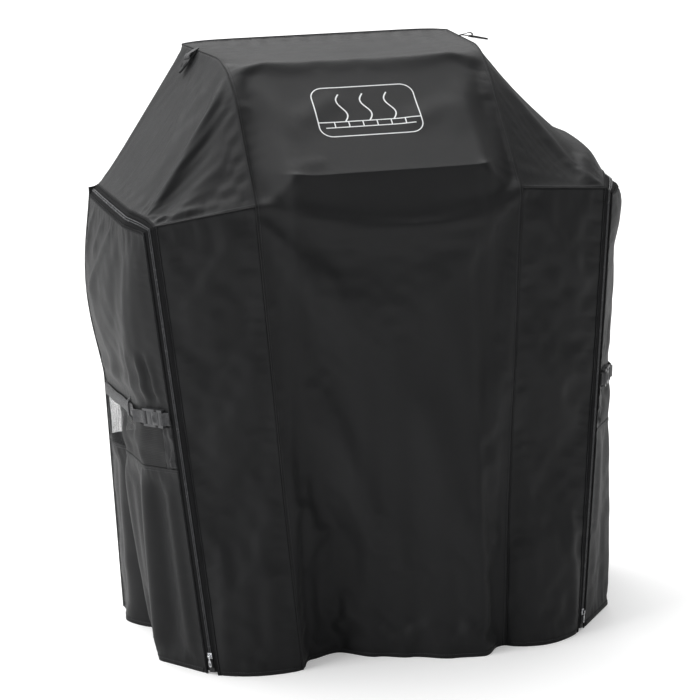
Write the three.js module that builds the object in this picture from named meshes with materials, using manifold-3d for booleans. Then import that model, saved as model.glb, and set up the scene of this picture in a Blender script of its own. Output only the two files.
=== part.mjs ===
// A fitted cover for a free-standing gas grill with side shelves, standing as if it hung on the grill.
// Millimetres, +Z up, the front faces -Y, left and right are the viewer's. The hem lies in the plane z = 0.
import * as THREE from "three";
import { mergeVertices } from "three/addons/utils/BufferGeometryUtils.js";
import Module from "manifold-3d";

const wasm = await Module();
wasm.setup();

// ---- driving dimensions -------------------------------------------------------------------------
const CLOTH = 1.6; // thickness of a cloth panel
const MESH_CLOTH = 1.0; // thickness of the open vent mesh
const SEAM = 0.25; // each side of a seam is drawn back by this much
const LID_TOP = 1147; // height of the flat lid top
const CREASE = { y: -287, z: 971 }; // the crease where the lid slope meets the front
const FRONT_BULGE = -20; // the centre of the front stands this far in front of its seams
const SIDE_BULGE = 26; // how far the side cloth stands out between shelf and strap
const CHAMFER = 13; // the zip band cuts the corner this far back on each cloth
const WEBBING = { height: 25, thick: 1.8, lift: 2.6 }; // strap webbing and its distance from the cloth
const STRAP_Z = { front: 506, rear: 472 }; // height of the strap's centre line
const VENT = { above: -14, below: -100 }; // vent mesh edges, measured from the strap's centre line
const BUCKLE = { from: 62, length: 32, half: 17.5 }; // its halves meet this far from the corner
const SLIDER = { z: 38, length: 12 };
const TAB = { y: 160, width: 25, length: 25, hinge: 3.3, lift: { left: 0, right: 38 } };
const EMBLEM = { x: -11, z: 1068, width: 206, height: 128, stroke: 2.4, thick: 0.6 };
const OFFSET = { x: -18.7, y: 47.9 }; // moves the finished cover so that its box is centred on the origin

// Where the seam lines run, as [x outwards, y, z] at their top and at the hem, for each side.
const SIDES = {
  left: {
    sign: -1,
    sag: 2, // how far the shoulder cloth hangs below a straight line
    rim: 0, // and how far it stands up over the shelf's edge
    corner: [[461, -230, 876], [382, -288, 0]],
    knee: [[486, -140, 880], [462, -178, 0]],
    fold: [[493, 10, 882], [440, -40, 0]],
    hinge: [[500, 180, 884], [474, 152, 0]],
  },
  right: {
    sign: 1,
    sag: 12,
    rim: 7,
    corner: [[461, -230, 888], [382, -288, 0]],
    knee: [[497, -120, 886], [484, -160, 0]],
    fold: [[524, 25, 885], [486, -30, 0]],
    hinge: [[548, 175, 884], [534, 128, 0]],
  },
};
const SEAM_FRONT = [[262, -272, 908], [207, -300, 0]]; // front centre seam
const SEAM_REAR = [[283, 215, 905], [262, 188, 0]]; // rear centre seam
const LID_FRONT = [258, -54, LID_TOP]; // front corner of the lid top
const LID_REAR = [283, 262, LID_TOP]; // rear corner of the lid top

// ---- small helpers ------------------------------------------------------------------------------
const V = (x, y, z) => new THREE.Vector3(x, y, z);
const mix = (a, b, t) => a.clone().lerp(b, t);
const lerp = (a, b, t) => a + (b - a) * t;
const clamp = (t) => Math.min(1, Math.max(0, t));
const smooth = (t) => clamp(t) ** 2 * (3 - 2 * clamp(t));
const steps = (n) => Array.from({ length: n + 1 }, (_, i) => i / n);
const dirTo = (a, b) => b.clone().sub(a).normalize();
const along = (p, d, s) => p.clone().addScaledVector(d, s);
const onSide = (side, [x, y, z]) => V(side.sign * x, y, z);

// The point of a straight seam line at height z.
function lineAt(side, [top, hem], z) {
  const t = (top[2] - z) / (top[2] - hem[2]);
  return mix(onSide(side, top), onSide(side, hem), t);
}

const group = new THREE.Group();
group.name = "grill_cover";
group.position.set(OFFSET.x, OFFSET.y, 0);

const MATERIALS = {
  cloth: { color: 0x2b2c2e, roughness: 0.72, metalness: 0 },
  mesh_cloth: { color: 0x191a1b, roughness: 0.85, metalness: 0 },
  zip_tape: { color: 0x17181a, roughness: 0.8, metalness: 0 },
  zip_coil: { color: 0x1d1e20, roughness: 0.35, metalness: 0 },
  webbing: { color: 0x1f2022, roughness: 0.75, metalness: 0 },
  black_plastic: { color: 0x151617, roughness: 0.45, metalness: 0 },
  nickel: { color: 0xb9bcc0, roughness: 0.28, metalness: 1 },
  print: { color: 0xe6e7e8, roughness: 0.6, metalness: 0 },
};
for (const [name, spec] of Object.entries(MATERIALS)) {
  MATERIALS[name] = new THREE.MeshStandardMaterial({ ...spec, name });
}

function addMesh(name, geometry, material, place) {
  geometry.computeVertexNormals();
  const mesh = new THREE.Mesh(geometry, MATERIALS[material]);
  mesh.name = name;
  if (place) mesh.applyMatrix4(place);
  group.add(mesh);
}

function geometryOf(points, faces) {
  const geometry = new THREE.BufferGeometry();
  const numbers = points.flatMap((p) => [p.x, p.y, p.z]);
  geometry.setAttribute("position", new THREE.Float32BufferAttribute(numbers, 3));
  geometry.setIndex(faces.flat());
  return geometry;
}

// three.js geometries become solids for joining and cutting, and come back as one geometry.
function solid(geometry) {
  geometry.deleteAttribute("normal");
  geometry.deleteAttribute("uv");
  const merged = mergeVertices(geometry, 1e-4);
  const vertProperties = new Float32Array(merged.attributes.position.array);
  const triVerts = new Uint32Array(merged.index.array);
  return new wasm.Manifold(new wasm.Mesh({ numProp: 3, vertProperties, triVerts }));
}

function addSolid(name, shape, material, place) {
  const mesh = shape.getMesh();
  const geometry = new THREE.BufferGeometry();
  const numbers = new Float32Array(mesh.vertProperties);
  geometry.setAttribute("position", new THREE.BufferAttribute(numbers, 3));
  geometry.setIndex(Array.from(mesh.triVerts));
  addMesh(name, geometry, material, place);
}

function blockGeometry(x0, x1, y0, y1, z0, z1) {
  const geometry = new THREE.BoxGeometry(x1 - x0, y1 - y0, z1 - z0);
  return geometry.translate((x0 + x1) / 2, (y0 + y1) / 2, (z0 + z1) / 2);
}
const box = (...limits) => solid(blockGeometry(...limits));

// A round bar along x, centred on x = 0.
function rodX(radius, length, y, z, segments = 20) {
  const geometry = new THREE.CylinderGeometry(radius, radius, length, segments);
  return solid(geometry.rotateZ(Math.PI / 2).translate(0, y, z));
}

// A flat plate from an outline, with holes given as further outlines.
function plate(outline, depth, holes = []) {
  const flat = (line) => line.map(([x, y]) => new THREE.Vector2(x, y));
  const shape = new THREE.Shape(flat(outline));
  shape.holes = holes.map((hole) => new THREE.Path(flat(hole)));
  return solid(new THREE.ExtrudeGeometry(shape, { depth, bevelEnabled: false }));
}

// ---- a sheet of cloth from a grid of points on its outer face --------------------------------------
function gridNormals(grid, outward) {
  const rows = grid.length;
  const cols = grid[0].length;
  const normals = grid.map((row) => row.map(() => V(0, 0, 0)));
  const faces = [];
  for (let i = 0; i < rows - 1; i++) {
    for (let j = 0; j < cols - 1; j++) {
      const a = grid[i + 1][j + 1].clone().sub(grid[i][j]);
      const b = grid[i][j + 1].clone().sub(grid[i + 1][j]);
      const n = a.cross(b).normalize();
      faces.push([i, j, n]);
      for (const [di, dj] of [[0, 0], [1, 0], [0, 1], [1, 1]]) normals[i + di][j + dj].add(n);
    }
  }
  normals.flat().forEach((n) => n.normalize());
  const middle = normals[rows >> 1][cols >> 1];
  const flip = middle.dot(outward) < 0;
  if (flip) normals.flat().forEach((n) => n.negate());
  // a sharp fold needs the inner face further away than the cloth is thick
  const stretch = grid.map((row) => row.map(() => 1));
  for (const [i, j, n] of faces) {
    if (flip) n.negate();
    for (const [di, dj] of [[0, 0], [1, 0], [0, 1], [1, 1]]) {
      const c = Math.max(0.7, normals[i + di][j + dj].dot(n));
      stretch[i + di][j + dj] = Math.max(stretch[i + di][j + dj], 1 / c);
    }
  }
  return { normals, stretch, flip };
}

// trims: how far the first row, last row, first column and last column are drawn back.
function sheet(name, grid, outward, trims, options = {}) {
  const { present = () => true, thick = CLOTH, material = "cloth" } = options;
  const rows = grid.length;
  const cols = grid[0].length;
  const { normals, stretch, flip } = gridNormals(grid, outward);
  const cell = (i, j) => (i >= 0 && j >= 0 && i < rows - 1 && j < cols - 1 && present(i, j) ? 1 : 0);
  const points = [];
  const index = new Map();
  const vertex = (i, j) => {
    const key = i * cols + j;
    if (index.has(key)) return index.get(key);
    const [a, b, c, d] = [cell(i - 1, j - 1), cell(i - 1, j), cell(i, j - 1), cell(i, j)];
    const si = Math.sign(c + d - a - b);
    const sj = Math.sign(b + d - a - c);
    const p = grid[i][j].clone();
    const rowTrim = i === 0 ? trims[0] : i === rows - 1 ? trims[1] : SEAM;
    const colTrim = j === 0 ? trims[2] : j === cols - 1 ? trims[3] : SEAM;
    const di = si ? dirTo(grid[i][j], grid[i + si][j]) : null;
    const dj = sj ? dirTo(grid[i][j], grid[i][j + sj]) : null;
    const acrossRow = dirTo(grid[i][Math.max(0, j - 1)], grid[i][Math.min(cols - 1, j + 1)]);
    const acrossCol = dirTo(grid[Math.max(0, i - 1)][j], grid[Math.min(rows - 1, i + 1)][j]);
    if (di) p.addScaledVector(di, rowTrim / Math.max(0.4, Math.sqrt(1 - di.dot(acrossRow) ** 2)));
    if (dj) p.addScaledVector(dj, colTrim / Math.max(0.4, Math.sqrt(1 - dj.dot(acrossCol) ** 2)));
    if (Math.abs(grid[i][j].z) < 1e-6) p.z = 0;
    const q = along(p, normals[i][j], -thick * stretch[i][j]);
    if (Math.abs(grid[i][j].z) < 1e-6) q.z = 0;
    points.push(p, q);
    index.set(key, points.length - 2);
    return points.length - 2;
  };
  const faces = [];
  const wall = (a, b) => faces.push([a, a + 1, b + 1], [a, b + 1, b]);
  for (let i = 0; i < rows - 1; i++) {
    for (let j = 0; j < cols - 1; j++) {
      if (!cell(i, j)) continue;
      const [a, b, c, d] = [vertex(i, j), vertex(i, j + 1), vertex(i + 1, j + 1), vertex(i + 1, j)];
      faces.push([a, b, c], [a, c, d], [a + 1, c + 1, b + 1], [a + 1, d + 1, c + 1]);
      if (!cell(i - 1, j)) wall(a, b);
      if (!cell(i, j + 1)) wall(b, c);
      if (!cell(i + 1, j)) wall(c, d);
      if (!cell(i, j - 1)) wall(d, a);
    }
  }
  // corners run a, b, c, d with the cross product of the diagonals as normal of a, b, c reversed
  const inward = flip ? faces : faces.map((f) => [f[0], f[2], f[1]]);
  addMesh(name, geometryOf(points, inward), material);
}

// ---- a closed sweep through a list of cross-sections with the same number of points -----------------
function sweep(name, sections, material) {
  const n = sections[0].length;
  const points = sections.flat();
  const faces = [];
  for (let s = 0; s < sections.length - 1; s++) {
    for (let k = 0; k < n; k++) {
      const [a, b] = [s * n + k, s * n + ((k + 1) % n)];
      faces.push([a, b, b + n], [a, b + n, a + n]);
    }
  }
  for (let k = 1; k < n - 1; k++) {
    faces.push([0, k + 1, k]);
    const e = (sections.length - 1) * n;
    faces.push([e, e + k, e + k + 1]);
  }
  const geometry = geometryOf(points, faces);
  if (signedVolume(points, faces) < 0) geometry.setIndex(faces.flatMap((f) => [f[0], f[2], f[1]]));
  addMesh(name, geometry, material);
}

function signedVolume(points, faces) {
  let sum = 0;
  for (const [a, b, c] of faces) sum += points[a].dot(points[b].clone().cross(points[c]));
  return sum;
}

// ---- the shape the cloth panels share --------------------------------------------------------------
const COLUMNS = [0, 0.1, 0.2, 0.3, 0.42, 0.53, 0.65, 0.77, 0.88, 1]; // across a side, corner to hinge
const FLAP_ROWS = [0, 0.1, 0.25, 0.42, 0.6, 0.78, 0.9, 1]; // shelf edge down to the vent
const SKIRT_ROWS = [0.12, 0.3, 0.5, 0.7, 0.88, 1]; // vent down to the hem

const shelfPoint = (side, name) => onSide(side, side[name][0]);

// The zip band is flat: it runs from the root edge to the flap edge, both parallel to the corner line.
function cornerFrame(side) {
  const top = shelfPoint(side, "corner");
  const down = dirTo(top, onSide(side, side.corner[1]));
  const toFront = dirTo(top, lineAt(side, SEAM_FRONT, top.z));
  const toRear = dirTo(top, shelfPoint(side, "knee"));
  return { top, down, toFront, toRear };
}
const rootEdgeAt = (side, z) => along(lineAt(side, side.corner, z), cornerFrame(side).toFront, CHAMFER);
const flapEdgeAt = (side, z) => along(lineAt(side, side.corner, z), cornerFrame(side).toRear, CHAMFER);

// A point of the side cloth: q runs 0 to 1 from the zip to the hinge seam, z is its height.
function sidePoint(side, q, z, start = flapEdgeAt) {
  const a = start(side, z);
  const knee = lineAt(side, side.knee, z);
  const end = lineAt(side, side.hinge, z);
  const straight = mix(knee, end, 0.5);
  const fold = mix(straight, lineAt(side, side.fold, z), smooth((450 - z) / 450));
  let p = mix(fold, end, clamp((q - 0.65) / 0.35));
  if (q < 0.65) p = mix(knee, fold, clamp((q - 0.3) / 0.35));
  if (q < 0.3) p = mix(a, knee, q / 0.3);
  const high = Math.sin(Math.PI * clamp((z - 540) / 340)) * Math.sin(Math.PI * clamp(q)) ** 0.7;
  p.x += side.sign * SIDE_BULGE * high;
  p.z = z;
  return p;
}

// The shelf edge, where the side cloth would meet the shoulder if there were no zip band.
function shelfEdge(side, q) {
  const points = ["corner", "knee", "fold", "hinge"].map((name) => shelfPoint(side, name));
  points[2] = mix(points[1], points[3], 0.5);
  if (q < 0.3) return mix(points[0], points[1], q / 0.3);
  if (q < 0.65) return mix(points[1], points[2], (q - 0.3) / 0.35);
  return mix(points[2], points[3], (q - 0.65) / 0.35);
}

// The seam around the lid, from the front centre seam over the lid corners to the rear centre seam.
function lidSeam(side, q) {
  const [b, a, g, f] = [SEAM_FRONT[0], LID_FRONT, LID_REAR, SEAM_REAR[0]].map((p) => onSide(side, p));
  if (q < 0.3) return mix(b, a, q / 0.3);
  if (q < 0.77) return mix(a, g, (q - 0.3) / 0.47);
  return mix(g, f, (q - 0.77) / 0.23);
}

// The shoulder's creases run from the lid's two corners to these places along the shelf edge.
const FEET = [[0, 0], [0.3, 0.2], [0.77, 0.96], [1, 1]]; // [place along the lid seam, along the edge]
function lookUp(table, t) {
  const k = Math.max(1, table.findIndex(([a]) => a >= t));
  const [[a, p], [b, q]] = [table[k - 1], table[k]];
  return lerp(p, q, (t - a) / (b - a));
}
const foot = (q) => lookUp(FEET, q);
const head = (q) => lookUp(FEET.map(([a, b]) => [b, a]), q);

// A point of the shoulder: v runs 0 to 1 from the lid seam to the shelf edge.
function shoulderPoint(side, q, v) {
  const p = mix(lidSeam(side, q), shoulderEdge(side, foot(q)), v);
  const open = Math.sin(Math.PI * clamp(q)) ** 0.6;
  p.z -= side.sag * open * Math.sin(Math.PI * clamp(v / 0.8));
  p.z += side.rim * open * Math.sin(Math.PI * clamp((v - 0.8) / 0.2));
  return p;
}

function shoulderEdge(side, q) {
  if (q === 0) return rootCorner(side);
  return along(shelfEdge(side, q), dirTo(shelfEdge(side, q), lidSeam(side, q)), CHAMFER);
}
const rootCorner = (side) => along(shelfPoint(side, "corner"), cornerFrame(side).toFront, CHAMFER);

// ---- front and top: one piece from the rear edge of the lid down to the front hem -----------------------
const HEM_FOLDS = [[-207, 0], [-186, 30], [-122, 52], [-50, 5], [10, -18], [90, -50], [150, -58], [207, 0]];

function hemFold(x) {
  for (let k = 0; k < HEM_FOLDS.length - 1; k++) {
    const [a, b] = [HEM_FOLDS[k], HEM_FOLDS[k + 1]];
    if (x <= b[0]) return lerp(a[1], b[1], smooth((x - a[0]) / (b[0] - a[0])));
  }
  return 0;
}

function frontTopRow(part, t) {
  const seam = { sign: 1 };
  const ends = {
    top: () => mix(onSide(seam, LID_REAR), onSide(seam, LID_FRONT), t),
    slope: () => mix(onSide(seam, LID_FRONT), onSide(seam, SEAM_FRONT[0]), t),
    front: () => lineAt(seam, SEAM_FRONT, SEAM_FRONT[0][2] * (1 - t)),
  };
  const end = ends[part]();
  return [-1, -0.9, -0.74, -0.58, -0.3, 0, 0.3, 0.58, 0.74, 0.9, 1].map((u) => {
    const p = V(end.x * u, end.y, end.z);
    const k = smooth((1 - Math.abs(u)) / 0.27);
    if (part === "slope") {
      const upper = [lerp(LID_FRONT[1], CREASE.y, t / 0.7), lerp(LID_TOP, CREASE.z, t / 0.7)];
      const ledge = SEAM_FRONT[0][1] + FRONT_BULGE;
      const lower = [lerp(CREASE.y, ledge, (t - 0.7) / 0.3), lerp(CREASE.z, end.z, (t - 0.7) / 0.3)];
      const [centre, height] = t < 0.7 ? upper : lower;
      p.y = lerp(p.y, centre, k);
      p.z = lerp(p.z, height, k);
    }
    if (part === "front") p.y += k * FRONT_BULGE * (1 - t) + t * hemFold(p.x);
    return p;
  });
}

function addFrontAndTop() {
  const rows = [];
  for (const t of steps(3)) rows.push(frontTopRow("top", t));
  for (const t of [0.2, 0.45, 0.7, 0.85]) rows.push(frontTopRow("slope", t));
  for (const t of [0, 0.1, 0.25, 0.4, 0.55, 0.7, 0.85, 1]) rows.push(frontTopRow("front", t));
  sheet("front_top_panel", rows, V(0, -1, 0.2), [2.3, 0, 1.0, 1.0]);
}

function addRearCentre() {
  const seam = { sign: 1 };
  const rows = [];
  const line = (z) => {
    const joint = onSide(seam, SEAM_REAR[0]);
    if (z <= joint.z) return lineAt(seam, SEAM_REAR, z);
    return mix(joint, onSide(seam, LID_REAR), (z - joint.z) / (LID_TOP - joint.z));
  };
  for (const z of [LID_TOP, 1026, SEAM_REAR[0][2], 700, 450, 200, 0]) {
    const { x, y } = line(z);
    rows.push([-1, -0.6, -0.2, 0.2, 0.6, 1].map((u) => V(x * u, y + 4 * (1 - u * u), z)));
  }
  rows[0].forEach((p) => (p.y = LID_REAR[1]));
  sheet("rear_centre_panel", rows, V(0, 1, 0), [2.3, 0, 0.9, 0.9]);
}

// ---- panels of one side ------------------------------------------------------------------------------
function addShoulder(side, label) {
  const rows = [0, 0.12, 0.3, 0.5, 0.7, 0.82, 0.92, 1];
  const columns = [...COLUMNS.slice(0, -1), 0.96, 1].map(head);
  const grid = rows.map((v) => columns.map((q) => shoulderPoint(side, q, v)));
  sheet(label + "_shoulder_panel", grid, V(side.sign, 0, 1), [1.2, 1.0, 1.0, 1.8]);
}

function addFrontSide(side, label) {
  const grid = [0, 0.08, 0.25, 0.45, 0.65, 0.85, 1].map((t) => {
    const inner = lineAt(side, SEAM_FRONT, SEAM_FRONT[0][2] * (1 - t));
    const outer = rootEdgeAt(side, side.corner[0][2] * (1 - t));
    return [0, 0.25, 0.5, 0.75, 1].map((u) => {
      const p = mix(inner, outer, u);
      const swell = t > 0 ? Math.sin(Math.PI * Math.min(1, t + 0.15) * 0.87) : 0;
      p.y -= 10 * Math.sin(Math.PI * u) * swell;
      return p;
    });
  });
  sheet(label + "_front_side_panel", grid, V(0, -1, 0), [1.0, 0, 0.7, 1.0]);
}

// The rear side panel has a vent window beside the hinge seam, at the height of the side's vent.
function addRearSide(side, label) {
  const heights = [1, 0.78, 0.6];
  const vent = [STRAP_Z.rear + VENT.above, STRAP_Z.rear + VENT.below];
  const columns = [0, 0.28, 0.64, 1];
  const row = (outerZ, innerZ) => columns.map((u) => {
    const p = mix(lineAt(side, side.hinge, outerZ), lineAt(side, SEAM_REAR, innerZ), u);
    p.y += 6 * Math.sin(Math.PI * u);
    return p;
  });
  const rowAt = (h) => row(side.hinge[0][2] * h, SEAM_REAR[0][2] * h);
  const grid = heights.map(rowAt);
  vent.forEach((z) => grid.push(row(z, z)));
  grid.push(rowAt(0.2), rowAt(0));
  grid[0].forEach((p, k) => (p.y = mix(grid[0][0], grid[0][3], columns[k]).y));
  const isVent = (i, j) => i === heights.length && j === 0;
  const isCloth = (i, j) => !isVent(i, j);
  const add = (name, options) => sheet(label + name, grid, V(0, 1, 0), [1.8, 0, 2.2, 0.9], options);
  add("_rear_side_panel", { present: isCloth });
  add("_rear_vent_mesh", { present: isVent, thick: MESH_CLOTH, material: "mesh_cloth" });
}

function addFlap(side, label) {
  const top = { front: side.corner[0][2] - CHAMFER, rear: side.hinge[0][2] - CHAMFER };
  const rows = FLAP_ROWS.map((t) => [
    lerp(top.front, STRAP_Z.front + VENT.above, t),
    lerp(top.rear, STRAP_Z.rear + VENT.above, t),
  ]);
  const ventTop = rows.length - 1;
  rows.push([STRAP_Z.front + VENT.below, STRAP_Z.rear + VENT.below]);
  for (const t of SKIRT_ROWS) rows.push(rows[ventTop + 1].map((z) => z * (1 - t)));
  const grid = rows.map(([zf, zr]) => COLUMNS.map((q) => sidePoint(side, q, lerp(zf, zr, q))));
  const out = V(side.sign, -0.2, 0);
  const trims = [1.0, 0, 1.0, 2.2];
  const add = (name, present, options) => sheet(label + name, grid, out, trims, { present, ...options });
  add("_flap_panel", (i) => i < ventTop);
  add("_edge_strip", (i, j) => i === ventTop && j === 0);
  const open = { thick: MESH_CLOTH, material: "mesh_cloth" };
  add("_vent_mesh", (i, j) => i === ventTop && j > 0, open);
  add("_skirt_panel", (i) => i > ventTop);
}

// ---- zip: two tapes, two coils, slider, pull and the two end blocks -----------------------------------
// The band's stations, from the hem up the corner and along the shelf edge to the hinge.
function zipStations(side) {
  const list = [16, 200, 400, 600, 780].map((z) => [rootEdgeAt(side, z), flapEdgeAt(side, z)]);
  const { top, toRear } = cornerFrame(side);
  const turn = along(along(top, toRear, CHAMFER), V(0, 0, -1), CHAMFER);
  list.push([rootCorner(side), turn]);
  for (const q of COLUMNS.slice(1)) {
    const zf = side.corner[0][2] - CHAMFER;
    const zr = side.hinge[0][2] - CHAMFER;
    list.push([shoulderEdge(side, q), sidePoint(side, q, lerp(zf, zr, q))]);
  }
  const [last, before] = [list[list.length - 1], list[list.length - 2]];
  list[list.length - 1] = last.map((p, k) => along(p, dirTo(p, before[k]), 2.4));
  return list;
}

// A bar that follows the band, from fraction f0 to f1 across it, between two distances from its plane.
function addZipBar(side, name, material, f0, f1, inner, outer) {
  const stations = zipStations(side);
  const sections = stations.map(([root, flap], k) => {
    const before = stations[Math.max(0, k - 1)];
    const after = stations[Math.min(stations.length - 1, k + 1)];
    const travel = mix(after[0], after[1], 0.5).sub(mix(before[0], before[1], 0.5));
    const n = travel.cross(flap.clone().sub(root)).normalize();
    if (n.dot(V(side.sign, -0.5, 0.5)) < 0) n.negate();
    const [a, b] = [mix(root, flap, f0), mix(root, flap, f1)];
    return [along(a, n, inner), along(b, n, inner), along(b, n, outer), along(a, n, outer)];
  });
  sweep(name, sections, material);
}

// A local frame from its x, y and z axes and its origin.
const frameMatrix = (x, y, z, origin) => new THREE.Matrix4().makeBasis(x, y, z).setPosition(origin);

// x across the band towards the flap, y up along the zip, z out of the band, at height z.
function zipFrame(side, z) {
  const [root, flap] = [rootEdgeAt(side, z), flapEdgeAt(side, z)];
  const x = dirTo(root, flap);
  const y = cornerFrame(side).down.clone().negate();
  x.addScaledVector(y, -x.dot(y)).normalize();
  const n = x.clone().cross(y);
  if (n.dot(V(side.sign, -0.5, 0)) < 0) n.negate();
  return frameMatrix(x, y, n, mix(root, flap, 0.5));
}

function addZip(side, label) {
  addZipBar(side, label + "_zip_tape_root", "zip_tape", 0.03, 0.29, -1.1, -0.1);
  addZipBar(side, label + "_zip_coil_root", "zip_coil", 0.315, 0.465, -1.8, 0.6);
  addZipBar(side, label + "_zip_coil_flap", "zip_coil", 0.535, 0.685, -1.8, 0.6);
  addZipBar(side, label + "_zip_tape_flap", "zip_tape", 0.71, 0.97, -1.1, -0.1);
  const frame = zipFrame(side, SLIDER.z);
  const half = SLIDER.length / 2;
  const slider = box(-4.6, 4.6, -half, half, 1.0, 2.1)
    .add(box(-4.6, 4.6, -half, half, -3.3, -2.2))
    .add(box(-0.3, 0.3, -half, half, -3, 1.5))
    .add(box(-2.6, -1.6, -3.4, 3.4, 2, 6.4))
    .add(box(1.6, 2.6, -3.4, 3.4, 2, 6.4))
    .add(rodX(0.7, 4.4, 0, 5.4, 16));
  addSolid(label + "_zip_slider", slider, "nickel", frame);
  // the pull hangs from the slider's cross pin, in front of the zip
  const profile = [[1.6, -22], [2.8, -20.5], [2.8, -11], [1.2, -7], [1.2, -0.5]];
  const outline = [...profile.map(([x, y]) => [-x, y]).reverse(), ...profile];
  const window = [[-1.3, -19], [1.3, -19], [1.3, -13.5], [-1.3, -13.5]];
  const pull = plate(outline, 1.1, [window])
    .translate([0, 0, 4.85])
    .add(rodX(1.9, 2.4, 0, 5.4))
    .subtract(rodX(1.05, 5, 0, 5.4));
  addSolid(label + "_zip_pull", pull, "nickel", frame);
  const end = zipFrame(side, 9);
  addMesh(label + "_zip_box", blockGeometry(-5.6, -0.35, -4.5, 4.5, -2.6, 1.6), "black_plastic", end);
  addMesh(label + "_zip_pin", blockGeometry(0.35, 5.6, -4.5, 4.5, -2.2, 1.2), "black_plastic", end);
}

// ---- strap, belt loop and side-release buckle ------------------------------------------------------------
const strapZ = (q) => lerp(STRAP_Z.front, STRAP_Z.rear, q);

// The direction up the cloth at the strap, square to x.
function upCloth(side, q, x) {
  const y = dirTo(sidePoint(side, q, strapZ(q) - 20), sidePoint(side, q, strapZ(q) + 20));
  return y.addScaledVector(x, -x.dot(y)).normalize();
}

// x towards the rear along the strap, y up, z out of the cloth, with the origin where the halves meet.
function buckleFrame(side) {
  const corner = lineAt(side, side.corner, STRAP_Z.front);
  const start = sidePoint(side, 0, strapZ(0));
  const knee = sidePoint(side, 0.3, strapZ(0.3));
  const x = dirTo(start, knee);
  const y = upCloth(side, 0.15, x);
  const z = x.clone().cross(y).multiplyScalar(side.sign);
  const origin = along(start, x, BUCKLE.from - start.distanceTo(corner));
  const reach = origin.distanceTo(knee);
  return { x, y, z, origin, reach, matrix: frameMatrix(x, y, z, origin) };
}

function addStrap(side, label) {
  const f = buckleFrame(side);
  const at = (s) => along(f.origin, f.x, s);
  const line = [[at(2), f.z, f.y], [at(Math.max(62, f.reach + 1)), f.z, f.y]];
  for (const q of [0.42, 0.53, 0.65, 0.77, 0.88, 0.965]) {
    const p = sidePoint(side, q, strapZ(q));
    const [before, after] = [q - 0.03, q + 0.03].map((s) => sidePoint(side, s, strapZ(s)));
    const t = dirTo(before, after);
    const y = upCloth(side, q, t);
    line.push([p, t.clone().cross(y).multiplyScalar(side.sign), y]);
  }
  const h = WEBBING.height / 2;
  const sections = line.map(([p, n, y]) => {
    const [a, b] = [WEBBING.lift, WEBBING.lift + WEBBING.thick];
    return [[-h, a], [h, a], [h, b], [-h, b]].map(([up, out]) => along(along(p, y, up), n, out));
  });
  sweep(label + "_strap", sections, "webbing");
  const stub = blockGeometry(-47, -26.2, -h, h, WEBBING.lift, WEBBING.lift + WEBBING.thick);
  addMesh(label + "_strap_anchor", stub, "webbing", f.matrix);
}

function addBeltLoop(side, label) {
  const q = 0.475;
  const p = sidePoint(side, q, strapZ(q));
  const x = dirTo(sidePoint(side, 0.43, strapZ(0.43)), sidePoint(side, 0.52, strapZ(0.52)));
  const y = upCloth(side, q, x);
  const z = x.clone().cross(y).multiplyScalar(side.sign);
  const loop = box(-6, 6, -19, 19, 0.5, 6.8).subtract(box(-7, 7, -17.4, 17.4, -1, 5.4));
  addSolid(label + "_belt_loop", loop, "webbing", frameMatrix(x, y, z, p));
}

function addBuckle(side, label) {
  const { matrix } = buckleFrame(side);
  const half = BUCKLE.half;
  const socket = box(-BUCKLE.length, 0, -half, half, 0.5, 9.6)
    .subtract(box(-24, 1, -15, 15, 4.8, 8.1))
    .subtract(box(-20, -8, -half - 1, half + 1, 4.8, 8.1))
    .subtract(box(-BUCKLE.length - 1, -25.6, -12.9, 12.9, 2.2, 4.8))
    .subtract(box(-30, -27, -12.9, 12.9, 4, 10));
  addSolid(label + "_buckle_socket", socket, "black_plastic", matrix);
  const plug = box(0.4, 28, -half, half, 0.5, 9.0)
    .subtract(box(-1, 30, -12.9, 12.9, 2.2, 4.8))
    .subtract(box(16, 19, -12.9, 12.9, 4, 10))
    .subtract(box(22.5, 25.5, -12.9, 12.9, 4, 10))
    .add(box(-21, 1, -3.2, 3.2, 5.2, 7.7));
  addSolid(label + "_buckle_plug", plug, "black_plastic", matrix);
  for (const [place, up] of [["upper", 1], ["lower", -1]]) {
    const outer = [[0, 12.4], [-8, 12.6], [-10, 14.5], [-17, 14.5]];
    const inner = [[-21, 10], [-20, 8.6], [-8, 9.4], [0, 9.6]];
    const outline = [...outer, ...inner].map(([x, y]) => [x, y * up]);
    const arm = plate(outline, 2.5).translate([0, 0, 5.2]);
    addSolid(label + "_latch_arm_" + place, arm, "black_plastic", matrix);
  }
}

// ---- hanging tab with its clip, at the side edge of the lid ------------------------------------------
// Frame of a tab on its hinge by the seam: x down the tab, z off the shoulder, turned up by the side's lift.
function tabFrame(side, label) {
  const q = 0.3 + 0.47 * ((TAB.y - LID_FRONT[1]) / (LID_REAR[1] - LID_FRONT[1]));
  const seam = shoulderPoint(side, q, 0);
  const x = dirTo(seam, shoulderPoint(side, q, 0.2));
  const y = dirTo(shoulderPoint(side, q - 0.05, 0.1), shoulderPoint(side, q + 0.05, 0.1));
  y.addScaledVector(x, -x.dot(y)).normalize();
  const z = x.clone().cross(y);
  if (z.z < 0) z.negate();
  const turn = (TAB.lift[label] * Math.PI) / 180;
  const down = x.clone().multiplyScalar(Math.cos(turn)).addScaledVector(z, Math.sin(turn));
  const face = z.clone().multiplyScalar(Math.cos(turn)).addScaledVector(x, -Math.sin(turn));
  return frameMatrix(down, y, face, along(along(seam, z, TAB.hinge), face, -TAB.hinge));
}

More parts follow.
